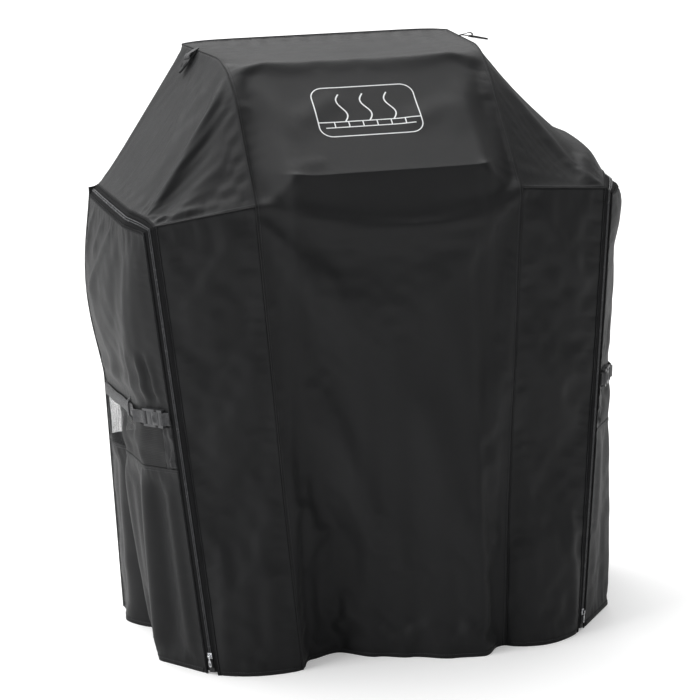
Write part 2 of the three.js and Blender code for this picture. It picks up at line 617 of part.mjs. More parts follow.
function addTab(side, label) {
  const matrix = tabFrame(side, label);
  const half = TAB.width / 2;
  const webbing = blockGeometry(3, TAB.length + 3, -half, half, 2.4, 4.2);
  addMesh(label + "_tab_webbing", webbing, "webbing", matrix);
  const lower = [[18, -13], [20.5, -15.5], [33, -15.5], [54, -5]];
  const shield = [...lower, [58, 0], ...lower.map(([a, b]) => [a, -b]).reverse()];
  const slot = [[22.5, -13], [26.5, -13], [26.5, 13], [22.5, 13]];
  const slant = (up) => [[32, 9.5], [35, 11.5], [46, 6.5], [43.5, 3.5]].map(([a, b]) => [a, b * up]);
  const holes = [slot, slant(1), slant(-1)].map((line) => plate(line, 8).translate([0, 0, 2.6]));
  const clip = holes.reduce((left, hole) => left.subtract(hole), plate(shield, 3.6).translate([0, 0, 4.6]));
  addSolid(label + "_tab_clip", clip, "black_plastic", matrix);
}

// ---- printed pictogram on the lid slope: heat over a grate in a rounded frame -------------------------
function roundedRectangle(w, h, r) {
  const points = [];
  [[1, 1, 0], [-1, 1, 1], [-1, -1, 2], [1, -1, 3]].forEach(([sx, sy, turn]) => {
    for (const t of steps(6)) {
      const a = ((turn + t) * Math.PI) / 2;
      points.push([sx * (w / 2 - r) + r * Math.cos(a), sy * (h / 2 - r) + r * Math.sin(a)]);
    }
  });
  return points;
}

// A line of even width along a rising wave, as a closed outline.
function waveOutline(x, from, to, swing, width) {
  const at = (t, d) => [x + swing * Math.sin(t * Math.PI * 2) + d, lerp(from, to, t)];
  const rising = steps(14).map((t) => at(t, -width / 2));
  return [...rising, ...steps(14).reverse().map((t) => at(t, width / 2))];
}

function addEmblem() {
  const { width, height, stroke, thick } = EMBLEM;
  const inner = roundedRectangle(width - 2 * stroke, height - 2 * stroke, 26 - stroke);
  let shape = plate(roundedRectangle(width, height, 26), thick, [inner]);
  const bar = (x0, x1, y0, y1) => (shape = shape.add(box(x0, x1, y0, y1, 0, thick)));
  bar(-width / 2 + 1, width / 2 - 1, -27, -27 + stroke);
  bar(-width / 2 + 14, width / 2 - 14, -41, -41 + stroke);
  for (const x of [-70, -42, -14, 14, 42, 70]) bar(x - stroke / 2, x + stroke / 2, -40, -26);
  for (const x of [-48, 0, 48]) shape = shape.add(plate(waveOutline(x, -26, 44, 8, stroke * 1.2), thick));
  const slope = Math.atan2(LID_TOP - CREASE.z, LID_FRONT[1] - CREASE.y);
  const y = LID_FRONT[1] - (LID_TOP - EMBLEM.z) / Math.tan(slope);
  const place = new THREE.Matrix4().makeRotationX(slope).setPosition(EMBLEM.x, y, EMBLEM.z);
  addSolid("printed_emblem", shape.translate([0, 0, 0.5]), "print", place);
}

// ---- the whole cover -------------------------------------------------------------------------------------
addFrontAndTop();
addRearCentre();
addEmblem();
for (const [label, side] of Object.entries(SIDES)) {
  addShoulder(side, label);
  addFrontSide(side, label);
  addRearSide(side, label);
  addFlap(side, label);
  addZip(side, label);
  addStrap(side, label);
  addBeltLoop(side, label);
  addBuckle(side, label);
  addTab(side, label);
}

export default group;
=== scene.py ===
"""Looks of a fitted grill cover: cloth panels, seams, zips, straps, buckles and a printed pictogram."""
import math

import bpy
import numpy as np
from mathutils import Matrix, Vector
from mathutils.bvhtree import BVHTree


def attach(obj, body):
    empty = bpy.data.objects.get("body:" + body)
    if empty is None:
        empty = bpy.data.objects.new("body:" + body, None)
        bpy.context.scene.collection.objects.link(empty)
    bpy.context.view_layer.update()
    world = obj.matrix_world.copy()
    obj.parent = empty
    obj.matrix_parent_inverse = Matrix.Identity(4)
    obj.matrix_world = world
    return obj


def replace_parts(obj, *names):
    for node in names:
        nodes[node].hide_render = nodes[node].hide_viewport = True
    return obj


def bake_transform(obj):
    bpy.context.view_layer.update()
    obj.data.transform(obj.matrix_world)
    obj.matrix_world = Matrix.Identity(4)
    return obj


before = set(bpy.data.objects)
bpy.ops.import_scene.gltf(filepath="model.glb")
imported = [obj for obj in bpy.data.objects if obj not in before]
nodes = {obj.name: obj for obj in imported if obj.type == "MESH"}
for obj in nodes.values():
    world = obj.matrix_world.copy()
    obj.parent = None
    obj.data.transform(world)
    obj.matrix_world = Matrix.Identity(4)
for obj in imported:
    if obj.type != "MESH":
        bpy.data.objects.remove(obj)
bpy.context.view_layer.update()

# ---- sizes, in millimetres, before OFFSET is added ----
OFFSET = np.array([-18.7, 47.9, 0.0])
LID_TOP = 1150
CREASE_Y, CREASE_Z = -287, 971  # the crease across the front, under the lid's slope
FRONT_BULGE = -20
CROWN = 5
HEM_FLARE = 16
CHAMFER = 13  # from the corner line to each edge of the zip
HINGE_CLOTH = 60  # how much of the flap's cloth bends beside its hinge seam
TAB_Y, TAB_HINGE, TAB_BEND = 160, 3.3, 10  # the tab's place, its hinge's height, and how much of it bends
STRAP_Z = (506, 472)  # the strap's height at the zip and at the hinge seam
BUCKLE_AT = 62  # from the corner line to the buckle's middle
LOOP_Q = 0.475
VENT = (-14, -100)  # the vent's top and bottom edge, from the strap
REAR_TOP, HINGE_TOP = 905, 884
# heights on a side: where something starts, and how far up or down it goes on from there
SLACK_Z = (500, 375)
BULGE_Z = (540, 340)
LIP_Z = (880, -130)
BELOW_STRAP_Z = (470, -60)
LOWER_SKIRT_Z = (400, -380)
FOLD_Z = (450, -450)
FLARE = (0.6, 0.4)  # the share of the front's height where the hem starts to flare, and the rest
CREASE_AT = 0.7  # the crease's share of the slope
WINDOW_Z, WINDOW_U = (458, 372), 0.28  # the rear window's top, bottom and share of the panel's width
SIDES = {
    "left": dict(
        sign=-1, bulge=24, slack=22, flare=14, pleat=1.0, loose=1.0, taut=1.0, sag=0, rim=0, lip=0, lift=0,
        corner=((461, -230, 876), (382, -288, 0)),
        knee=((486, -140, 880), (462, -178, 0)),
        fold=((493, 10, 882), (440, -40, 0)),
        hinge=((500, 180, HINGE_TOP), (474, 152, 0)),
    ),
    "right": dict(
        sign=1, bulge=14, slack=10, flare=30, pleat=0.0, loose=0.4, taut=0.9, sag=6, rim=30, lip=24, lift=38,
        corner=((461, -230, 888), (382, -288, 0)),
        knee=((497, -120, 886), (484, -160, 0)),
        fold=((524, 25, 885), (486, -30, 0)),
        hinge=((548, 175, HINGE_TOP), (534, 128, 0)),
    ),
}
MIDDLE = dict(sign=1)  # stands for a side on the panels that lie between the two
SEAM_FRONT = ((262, -272, 908), (207, -300, 0))
SEAM_REAR = ((283, 215, REAR_TOP), (262, 188, 0))
LID_FRONT = (258, -54, LID_TOP)
LID_REAR = (283, 262, LID_TOP)
# legs of a way round one side, from front to rear: the q where each starts, and its length
KNEE_Q = 0.3
LID_FRONT_Q, LID_RUN, LID_REAR_Q = 0.3, 0.47, 0.77
SIDE_LEGS = ((0, KNEE_Q), (KNEE_Q, 0.35), (0.65, 0.35))
LID_LEGS = ((0, LID_FRONT_Q), (LID_FRONT_Q, LID_RUN), (LID_REAR_Q, 0.23))
LID_ROUND = (0.20, 0.43)  # where the lid seam's front corner is rounded off
# q along the lid seam, and its foot on the shelf edge
SHOULDER_FEET = [0, LID_FRONT_Q, LID_REAR_Q, 1], [0, 0.2, 0.96, 1]
# places across the front and top, from 0 at the middle to 1 at the seams: the profile's share there, and the
# part of the hem that flares
PROFILE = [0.735, 0.9, 1], [1, 0.31, 0]
FLARE_CORNER = (0.86, 0.14)
HEM_X = np.array([-207, -186, -122, -50, 10, 90, 150, 207.0])
HEM_DY = np.array([0, 30, 52, 5, -18, -50, -58, 0.0])


# ---- small helpers ----
def smooth(t):
    t = np.clip(t, 0, 1)
    return t * t * (3 - 2 * t)


def share(value, start, length):
    """How far the value is along a length, from 0 to 1."""
    return np.clip((value - start) / length, 0, 1)


def hump(t):
    """A half wave: 0 at t = 0, 1 at the middle and 0 at t = 1."""
    return np.sin(np.pi * np.clip(t, 0, 1))


def unit(v):
    return v / np.maximum(np.linalg.norm(v, axis=-1, keepdims=True), 1e-12)


def mix(a, b, t):
    return a + (b - a) * np.asarray(t, float)[..., None]


def square_to(v, x):
    """The direction v, turned to stand square to x."""
    return unit(v - x * np.dot(x, v))


def local(origin, x, y, z):
    """A function from distances along three axes to a point."""
    return lambda a, b, c: origin + x * a + y * b + z * c


def on_side(side, p):
    return np.array([side["sign"] * p[0], p[1], p[2]], float)


def line_at(side, seam, z):
    top, hem = (on_side(side, p) for p in seam)
    return mix(top, hem, (top[2] - np.asarray(z, float)) / (top[2] - hem[2]))


def through(q, points, legs):
    """The point at q on three straight legs between four points."""
    p = mix(points[2], points[3], share(q, *legs[2]))
    for k in (1, 0):
        p = np.where((q < legs[k + 1][0])[..., None], mix(points[k], points[k + 1], share(q, *legs[k])), p)
    return p


def noise1(s, seed, octaves=3):
    """A smooth, repeatable wave of about unit height along s, whose periods are near 1."""
    rng = np.random.default_rng(seed)
    out = np.zeros_like(np.asarray(s, float))
    for k in range(octaves):
        f, a = 0.7 + 0.75 * k + 0.3 * rng.random(), 0.75 ** k
        out += a * np.sin(2 * np.pi * (f * s + rng.random()))
    return out / 1.6


def in_metres(*points):
    return [tuple((p + OFFSET) / 1000) for p in points]


def new_object(name, data):
    obj = bpy.data.objects.new(name, data)
    bpy.context.scene.collection.objects.link(obj)
    return obj


# ---- the cloth's large shape, shared with the CAD ----
def corner_frame(side):
    top = on_side(side, side["corner"][0])
    to_front = unit(line_at(side, SEAM_FRONT, top[2]) - top)
    to_rear = unit(on_side(side, side["knee"][0]) - top)
    return top, to_front, to_rear


def root_edge(side, z):
    return line_at(side, side["corner"], z) + corner_frame(side)[1] * CHAMFER


def flap_edge(side, z):
    return line_at(side, side["corner"], z) + corner_frame(side)[2] * CHAMFER


def hinge_seam(side, z):
    """The seam stands out from the joint's straight axis above the strap, where the cloth is slack."""
    z = np.asarray(z, float)
    p = line_at(side, side["hinge"], z)
    p[..., 0] += side["sign"] * side["slack"] * hump(share(z, *SLACK_Z)) ** 1.2
    return p


def side_point(side, q, z):
    """A point of the side, from the zip at q = 0 to the hinge seam at q = 1, at a height."""
    q, z = np.broadcast_arrays(np.asarray(q, float), np.asarray(z, float))
    s = side["sign"]
    knee, end = line_at(side, side["knee"], z), hinge_seam(side, z)
    fold = mix(mix(knee, end, 0.5), line_at(side, side["fold"], z), smooth(share(z, *FOLD_Z)))
    p = through(q, (flap_edge(side, z), knee, fold, end), SIDE_LEGS)
    p[..., 0] += s * side["bulge"] * (hump(share(z, *BULGE_Z)) * hump(q) ** 0.7)
    p[..., 0] += s * side["lip"] * hump(q / 0.5) ** 0.7 * hump(share(z, *LIP_Z) ** 0.5)
    below = 0.4 * share(z, *BELOW_STRAP_Z) + 0.6 * smooth(share(z, *LOWER_SKIRT_Z))
    pleat = 8 * np.exp(-(((q - 0.62) / 0.05) ** 2)) - 26 * np.exp(-(((q - 0.705) / 0.035) ** 2))
    p[..., 0] += s * below * side["pleat"] * (pleat + 24 * np.exp(-(((q - 0.84) / 0.075) ** 2)))
    p[..., 2] = z
    return p


def shelf_edge(side, q):
    c, k, h = (on_side(side, side[n][0]) for n in ("corner", "knee", "hinge"))
    return through(np.asarray(q, float), (c, k, (k + h) / 2, h), SIDE_LEGS)


def lid_seam(side, q):
    """The seam round the lid; its front corner is rounded off."""
    q = np.asarray(q, float)
    b, a, g, f = (on_side(side, p) for p in (SEAM_FRONT[0], LID_FRONT, LID_REAR, SEAM_REAR[0]))
    q0, q1 = LID_ROUND
    t = share(q, q0, q1 - q0)
    start, end = mix(b, a, q0 / LID_LEGS[0][1]), mix(a, g, (q1 - LID_LEGS[1][0]) / LID_LEGS[1][1])
    curve = mix(mix(start, a, t), mix(a, end, t), t)
    return np.where(((q > q0) & (q < q1))[..., None], curve, through(q, (b, a, g, f), LID_LEGS))


def shoulder_edge(side, q):
    """The shoulder's lower edge beside the zip; it leaves the shelf edge near the corner."""
    q = np.asarray(q, float)

    def plain(s):
        return shelf_edge(side, s) + unit(lid_seam(side, s) - shelf_edge(side, s)) * CHAMFER

    top, to_front, _ = corner_frame(side)
    near = mix(top + to_front * CHAMFER, plain(np.full(q.shape, 0.1)), share(q, 0, 0.1))
    return np.where((q < 0.1)[..., None], near, plain(np.maximum(q, 0.1)))


def shoulder_point(side, q, v):
    """A point of the shoulder, at q along the lid seam and v of the way down to the zip."""
    q, v = np.broadcast_arrays(np.asarray(q, float), np.asarray(v, float))
    p = mix(lid_seam(side, q), shoulder_edge(side, np.interp(q, *SHOULDER_FEET)), v)
    wide = hump(q) ** 0.6
    p[..., 2] -= side["sag"] * wide * hump(v / 0.65)
    p[..., 2] += side["rim"] * wide * hump(share(v, 0.6, 0.4) ** 2.6)
    return p


def hem_fold(x):
    k = np.clip(np.searchsorted(HEM_X, x) - 1, 0, len(HEM_X) - 2)
    return HEM_DY[k] + (HEM_DY[k + 1] - HEM_DY[k]) * smooth((x - HEM_X[k]) / (HEM_X[k + 1] - HEM_X[k]))


def front_top_grid(counts, columns):
    """Rows of points from the lid's rear edge, over the top and down the slope, to the front hem."""
    u = np.linspace(-1, 1, columns + 1)
    k = np.interp(np.abs(u), *PROFILE)
    crown = CROWN * (1 - u ** 10)
    seam_y, seam_z = SEAM_FRONT[0][1:]
    rows = []
    for part, n in zip(("top", "slope", "front"), counts):
        for t in np.linspace(0, 1, n + 1)[0 if part == "top" else 1:]:
            end = {
                "top": lid_seam(MIDDLE, LID_REAR_Q - LID_RUN * t),
                "slope": lid_seam(MIDDLE, LID_FRONT_Q - LID_FRONT_Q * t),
                "front": line_at(MIDDLE, SEAM_FRONT, float(seam_z) * (1 - t)),
            }[part]
            p = np.stack([end[0] * u, end[1] + 0 * u, end[2] + 0 * u], -1)
            if part == "top":
                p[:, 1] += (LID_REAR[1] + (LID_FRONT[1] - LID_REAR[1]) * t - p[:, 1]) * k
                p[:, 2] += (LID_TOP - p[:, 2]) * k + crown
            if part == "slope":
                y = np.interp(t, [0, CREASE_AT, 1], [LID_FRONT[1], CREASE_Y, seam_y + FRONT_BULGE])
                z = np.interp(t, [0, CREASE_AT, 1], [LID_TOP, CREASE_Z, end[2]])
                p[:, 1] += (y - p[:, 1]) * k
                p[:, 2] += (z - p[:, 2]) * k + crown * smooth(1 - t / 0.5)
            if part == "front":
                p[:, 1] += k * FRONT_BULGE * (1 - t) + t * hem_fold(p[:, 0])
                p[:, 1] -= HEM_FLARE * smooth(share(np.abs(u), *FLARE_CORNER)) * smooth(share(t, *FLARE))
            rows.append(p)
    return np.array(rows)


def fine(keys, step=11):
    """The key values with even steps put in between, an even number of them in all."""
    out = [keys[0]]
    for a, b in zip(keys, keys[1:]):
        n = max(2, 2 * round(abs(b[0] - a[0]) / step / 2))
        out += [tuple(x + (y - x) * i / n for x, y in zip(a, b)) for i in range(1, n + 1)]
    return np.array(out)


def rear_centre_grid():
    z = np.concatenate([np.linspace(LID_TOP, REAR_TOP, 21), np.linspace(REAR_TOP, 0, 77)[1:]])
    above = (z - REAR_TOP) / (LID_TOP - REAR_TOP)
    top = mix(np.array(SEAM_REAR[0], float), np.array(LID_REAR, float), above)
    line = np.where((z > REAR_TOP)[:, None], top, line_at(MIDDLE, SEAM_REAR, z))
    u = np.linspace(1, -1, 43)
    p = np.zeros((len(z), len(u), 3))
    p[..., 0] = line[:, :1] * u
    p[..., 1] = line[:, 1:2] + 4 * (1 - u * u) * smooth((LID_TOP - z) / 60)[:, None]
    p[..., 2] = z[:, None] + CROWN * (1 - u ** 10) * smooth(1 - (LID_TOP - z[:, None]) / 60)
    return p


def side_grid(side, part, q0=0.0, q1=1.0, columns=42):
    z0 = (side["corner"][0][2] - CHAMFER, side["hinge"][0][2] - CHAMFER)
    z1, z2 = (tuple(s + d for s in STRAP_Z) for d in VENT)
    rows = fine({"flap": (z0, z1), "vent": (z1, z2), "skirt": (z2, (0, 0))}[part])
    q = np.linspace(q0, q1, columns + 1)
    z = rows[:, :1] + (rows[:, 1:] - rows[:, :1]) * q
    return side_point(side, q[None, :] + 0 * z, z)


def front_side_grid(side):
    t = np.linspace(0, 1, 85)[:, None]
    u = np.linspace(0, 1, 19)
    inner = line_at(side, SEAM_FRONT, SEAM_FRONT[0][2] * (1 - t[:, 0]))[:, None]
    outer = root_edge(side, side["corner"][0][2] * (1 - t[:, 0]))[:, None]
    p = inner + (outer - inner) * u[:, None]
    p[..., 1] -= 10 * hump(u) * np.sin(np.pi * np.minimum(1, t + 0.15) * 0.87) * smooth(t / 0.06)
    p[..., 1] -= (HEM_FLARE * (1 - u) + side["flare"] * hump(u) ** 0.8) * smooth(share(t, *FLARE))
    return p


REAR_U = np.concatenate([np.linspace(0, WINDOW_U, 9), np.linspace(WINDOW_U, 1, 17)[1:]])
# heights at the hinge seam and at the rear seam
REAR_ROWS = [(HINGE_TOP, REAR_TOP), (530, 543), *((z, z) for z in WINDOW_Z), (0, 0)]


def rear_side_grid(side):
    rows = fine(REAR_ROWS)
    a, b = hinge_seam(side, rows[:, 0]), line_at(side, SEAM_REAR, rows[:, 1])
    p = a[:, None] + (b - a)[:, None] * REAR_U[:, None]
    p[..., 1] += 6 * hump(REAR_U) * smooth((880 - rows[:, :1]) / 60)
    return p, rows


def shoulder_grid(side):
    legs = (0, LID_FRONT_Q, 31), (LID_FRONT_Q, LID_REAR_Q, 31), (LID_REAR_Q, 1, 23)
    q = np.concatenate([[0.0]] + [np.linspace(*leg)[1:] for leg in legs])
    v = np.linspace(0, 1, 35)
    return shoulder_point(side, q[None, :] + 0 * v[:, None], v[:, None] + 0 * q[None, :])


# ---- materials ----
WEAVE_PITCH = 0.0011


class Graph:
    """Short names for adding and joining the nodes round one shader."""

    def __init__(self, tree, shader):
        self.tree, self.shader = tree, shader

    def add(self, kind, **inputs):
        n = self.tree.nodes.new(kind)
        for key, value in inputs.items():
            key = int(key[1:]) if key[0] == "i" and key[1:].isdigit() else key.replace("_", " ")
            if isinstance(value, bpy.types.NodeSocket):
                self.tree.links.new(value, n.inputs[key])
            else:
                n.inputs[key].default_value = value
        return n

    def wire(self, key, value):
        self.tree.links.new(value, self.shader.inputs[key])

    def math(self, op, a, b=0.0):
        n = self.add("ShaderNodeMath", i0=a, i1=b)
        n.operation = op
        return n.outputs[0]

    def plus(self, a, b):
        return self.math("ADD", a, b)

    def times(self, a, b):
        return self.math("MULTIPLY", a, b)

    def wave(self, value, pitch):
        return self.math("SINE", self.times(value, 2 * math.pi / pitch))

    def uv(self):
        n = self.add("ShaderNodeUVMap")
        n.uv_map = "cloth"
        return n.outputs[0]

    def place(self):
        return self.add("ShaderNodeTexCoord").outputs["Object"]

    def fact(self, name):
        n = self.add("ShaderNodeAttribute")
        n.attribute_name = name
        return n.outputs["Fac"]

    def split(self, vector):
        return self.add("ShaderNodeSeparateXYZ", Vector=vector).outputs[:2]

    def noise(self, vector, scale, detail=3.0, rough=0.5):
        n = self.add("ShaderNodeTexNoise", Vector=vector, Scale=scale, Detail=detail, Roughness=rough)
        return n.outputs[0]

    def ramp(self, value, stops):
        n = self.add("ShaderNodeValToRGB", Fac=value)
        n.color_ramp.elements.remove(n.color_ramp.elements[1])
        n.color_ramp.elements[0].position = stops[0][0]
        n.color_ramp.elements[0].color = (*stops[0][1], 1)
        for at, colour in stops[1:]:
            n.color_ramp.elements.new(at).color = (*colour, 1)
        return n.outputs[0]

    def span(self, value, lo, hi):
        return self.add("ShaderNodeMapRange", Value=value, To_Min=lo, To_Max=hi).outputs[0]

    def bump(self, height, strength, distance, normal=None):
        n = self.add("ShaderNodeBump", Height=height, Strength=strength, Distance=distance)
        if normal is not None:
            self.tree.links.new(normal, n.inputs["Normal"])
        return n.outputs[0]

    def weave(self, uv):
        """A plain weave over the cloth's own metres: warp threads pass over and under weft threads."""
        return self.times(*(self.wave(way, WEAVE_PITCH) for way in self.split(uv)))

    def finish(self, tone, stops, normal):
        """Colours the surface by its tone, and gives it its relief."""
        self.wire("Base Color", self.ramp(tone, stops))
        self.wire("Normal", normal)

    def shader_where(self, factor, other):
        """The main shader where the factor is 1, and the other one where it is 0."""
        both = self.add("ShaderNodeMixShader", i0=factor, i1=other.outputs[0], i2=self.shader.outputs[0])
        self.tree.links.new(both.outputs[0], self.tree.nodes["Material Output"].inputs["Surface"])


def new_material(name, color, roughness, **sockets):
    m = bpy.data.materials.new(name)
    m.use_nodes = True
    p = m.node_tree.nodes["Principled BSDF"]
    p.inputs["Base Color"].default_value = (*color, 1)
    p.inputs["Roughness"].default_value = roughness
    for key, value in sockets.items():
        p.inputs[key.replace("_", " ")].default_value = value
    return m, Graph(m.node_tree, p)


def cloth_material(name, dark, light, rough, sheen):
    m, g = new_material(name, dark, rough, Sheen_Weight=sheen, Sheen_Roughness=0.5, Specular_IOR_Level=0.22)
    uv, where = g.uv(), g.place()
    cloud = g.noise(where, 5.0, 4.0, 0.6)
    slub = g.plus(*(
        g.noise(g.add("ShaderNodeMapping", Vector=uv, Scale=scale).outputs[0], 1.0, 2.0)
        for scale in ((900, 60, 1), (60, 900, 1))
    ))
    threads = g.weave(uv)
    scuff = g.times(g.fact("wear"), g.noise(where, 90.0, 4.0, 0.65))
    tone = g.plus(g.times(cloud, 0.55), g.times(slub, 0.2))
    tone = g.plus(tone, g.times(threads, 0.08))
    tone = g.plus(tone, g.times(scuff, 0.55))
    g.wire("Roughness", g.span(cloud, rough - 0.07, rough + 0.07))
    n = g.bump(slub, 0.25, 0.00015, g.bump(threads, 0.35, 0.00012))
    crinkle = g.bump(g.noise(where, 75.0, 3.0, 0.55), 0.18, 0.0012, n)
    g.finish(tone, [(0.25, dark), (0.85, light)], crinkle)
    return m


def mesh_material():
    """A net of round holes; its dense part has small holes and ribs."""
    m, g = new_material("open_mesh", (0.05, 0.051, 0.053), 0.55, Specular_IOR_Level=0.3)
    x, y = g.split(g.uv())
    pitch, rib_pitch = 0.0024, 0.0036
    row = g.times(g.math("FLOOR", g.math("DIVIDE", y, pitch)), 0.5)
    u = g.math("SUBTRACT", g.math("FRACT", g.plus(g.math("DIVIDE", x, pitch), row)), 0.5)
    v = g.math("SUBTRACT", g.math("FRACT", g.math("DIVIDE", y, pitch)), 0.5)
    far = g.plus(g.times(u, u), g.times(v, v))
    dense = g.fact("dense")
    solid = g.math("GREATER_THAN", far, g.span(dense, 0.235, 0.03))
    ribs = g.wave(y, rib_pitch)
    rib_tone = g.times(g.times(ribs, dense), 0.12)
    tone = g.plus(rib_tone, g.math("SUBTRACT", 0.85, g.times(dense, 0.55)))
    stops = [(0.0, (0.004, 0.004, 0.0045)), (0.42, (0.019, 0.0194, 0.02)), (0.85, (0.055, 0.056, 0.058))]
    g.shader_where(solid, g.add("ShaderNodeBsdfTransparent"))
    g.finish(tone, stops, g.bump(ribs, 0.35, 0.0005, g.bump(far, 0.5, 0.0004)))
    return m


def webbing_material():
    m, g = new_material("ribbed_webbing", (0.03, 0.03, 0.033), 0.6, Sheen_Weight=0.25, Sheen_Roughness=0.4)
    x, y = g.split(g.uv())
    pitch = 0.0017
    zig = g.math("PINGPONG", g.math("DIVIDE", y, 0.0042), 0.5)
    slant = g.plus(g.math("DIVIDE", x, pitch), g.times(zig, 3.0))
    twill = g.math("SINE", g.times(slant, 2 * math.pi))
    height = g.plus(g.times(g.wave(x, pitch), 0.6), g.times(twill, 0.4))
    tone = g.plus(g.times(height, 0.18), g.noise(g.place(), 240.0, 3.0))
    g.finish(tone, [(0.2, (0.016, 0.016, 0.018)), (0.85, (0.055, 0.056, 0.06))], g.bump(height, 0.6, 0.0004))
    return m


def tape_material():
    m, g = new_material("zip_tape", (0.008, 0.008, 0.009), 0.75, Sheen_Weight=0.02, Specular_IOR_Level=0.15)
    ribs = g.wave(g.split(g.uv())[0], 0.0014)
    tone = g.plus(g.times(ribs, 0.2), g.noise(g.place(), 300.0, 3.0))
    stops = [(0.2, (0.002, 0.002, 0.0025)), (0.85, (0.009, 0.0092, 0.010))]
    g.finish(tone, stops, g.bump(ribs, 0.55, 0.0003))
    return m


def plastic_material(name, dark, light, rough, grain=0.25):
    m, g = new_material(name, dark, rough, Specular_IOR_Level=0.5)
    where = g.place()
    cloud = g.noise(where, 60.0, 3.0)
    g.wire("Roughness", g.span(cloud, rough - 0.08, rough + 0.1))
    g.finish(cloud, [(0.3, dark), (0.8, light)], g.bump(g.noise(where, 1800.0, 2.0), grain, 0.0001))
    return m


def nickel_material():
    m, g = new_material("nickel", (0.72, 0.73, 0.75), 0.25, Metallic=1.0)
    cloud = g.noise(g.place(), 260.0, 4.0, 0.65)
    g.wire("Roughness", g.span(cloud, 0.14, 0.38))
    g.finish(cloud, [(0.3, (0.62, 0.63, 0.65)), (0.75, (0.8, 0.81, 0.83))], g.bump(cloud, 0.15, 0.00015))
    return m


def print_material():
    m, g = new_material("white_print", (0.82, 0.83, 0.84), 0.55)
    threads = g.weave(g.uv())
    rub = g.plus(g.noise(g.place(), 700.0, 3.0, 0.7), g.times(threads, 0.05))
    g.finish(rub, [(0.28, (0.5, 0.5, 0.51)), (0.42, (0.84, 0.85, 0.86))], g.bump(threads, 0.3, 0.00012))
    return m


CLOTH = cloth_material("polyester_cloth", (0.0075, 0.0078, 0.0084), (0.0175, 0.0179, 0.0188), 0.5, 0.06)
STRIP = cloth_material("crinkled_strip", (0.010, 0.010, 0.011), (0.022, 0.0225, 0.024), 0.42, 0.1)
MESH = mesh_material()
# very dark plastic, painted shade: the shade lines along the seams and in the buckle's release notches
PAINTED_SHADE = plastic_material("seam_piping", (0.003, 0.003, 0.0035), (0.007, 0.007, 0.008), 0.75, 0.5)
WEBBING = webbing_material()
TAPE = tape_material()
COIL = plastic_material("nylon_coil", (0.02, 0.021, 0.023), (0.045, 0.046, 0.05), 0.24, 0.1)
PLASTIC = plastic_material("black_plastic", (0.012, 0.012, 0.013), (0.026, 0.027, 0.029), 0.38)
BUCKLE = plastic_material("buckle_plastic", (0.042, 0.043, 0.045), (0.07, 0.071, 0.075), 0.3)
THREAD = plastic_material("sewing_thread", (0.018, 0.018, 0.02), (0.06, 0.061, 0.065), 0.5, 0.6)
NICKEL = nickel_material()
PRINT = print_material()

# ---- meshes ----
riders = []  # every piece with its body
bends = {}  # the bodies whose cloth bends from the cover: the points where the bend starts and ends


def add_piece(name, points, faces, material, body, uvs):
    """A new mesh piece from points in millimetres; uvs are metres, one pair per point."""
    me = bpy.data.meshes.new(name)
    me.from_pydata(((np.asarray(points) + OFFSET) / 1000).tolist(), [], [list(map(int, f)) for f in faces])
    me.validate()
    if uvs is not None:
        layer = me.uv_layers.new(name="cloth")
        loop_vertex = np.zeros(len(me.loops), int)
        me.loops.foreach_get("vertex_index", loop_vertex)
        layer.data.foreach_set("uv", np.asarray(uvs, float)[loop_vertex].ravel())
    me.polygons.foreach_set("use_smooth", [True] * len(me.polygons))
    me.materials.append(material)
    obj = new_object(name, me)
    riders.append((obj, body))
    return obj


def grid_faces(rows, cols, keep=None):
    faces = []
    for i in range(rows - 1):
        for j in range(cols - 1):
            if keep is None or keep(i, j):
                faces.append((i * cols + j, (i + 1) * cols + j, (i + 1) * cols + j + 1, i * cols + j + 1))
    return faces


def grid_normals(p):
    return unit(np.cross(np.gradient(p, axis=0), np.gradient(p, axis=1)))


def arc(p, axis=0):
    """Distance along the grid's rows or columns, or along a line, from the first point."""
    d = np.linalg.norm(np.diff(p, axis=axis), axis=-1)
    zero = np.zeros_like(np.take(d, [0], axis=axis))
    return np.concatenate([zero, np.cumsum(d, axis=axis)], axis=axis)


def signed_volume(points, faces):
    total = 0.0
    for f in faces:
        for k in range(1, len(f) - 1):
            total += np.dot(points[f[0]], np.cross(points[f[k]], points[f[k + 1]]))
    return total


def sweep_piece(name, bars, material, body):
    """One piece of bars, each through its cross-sections (n, k, 3), with UVs along and round it."""
    points, faces, uvs, base = [], [], [], 0
    for s in bars:
        s = np.asarray(s, float)
        n, k = s.shape[:2]
        part = []
        for i in range(n - 1):
            for j in range(k):
                a, b = i * k + j, i * k + (j + 1) % k
                part.append((a, b, b + k, a + k))
        part += [tuple(range(k))[::-1], tuple(range((n - 1) * k, n * k))]
        flat = s.reshape(-1, 3)
        if signed_volume(flat - flat.mean(0), part) < 0:
            part = [f[::-1] for f in part]
        faces += [tuple(base + q for q in f) for f in part]
        points.append(flat)
        uvs.append(np.stack([np.repeat(arc(s.mean(1)), k), np.tile(arc(s[0]), n)], -1) / 1000)
        base += len(flat)
    return add_piece(name, np.concatenate(points), faces, material, body, np.concatenate(uvs))


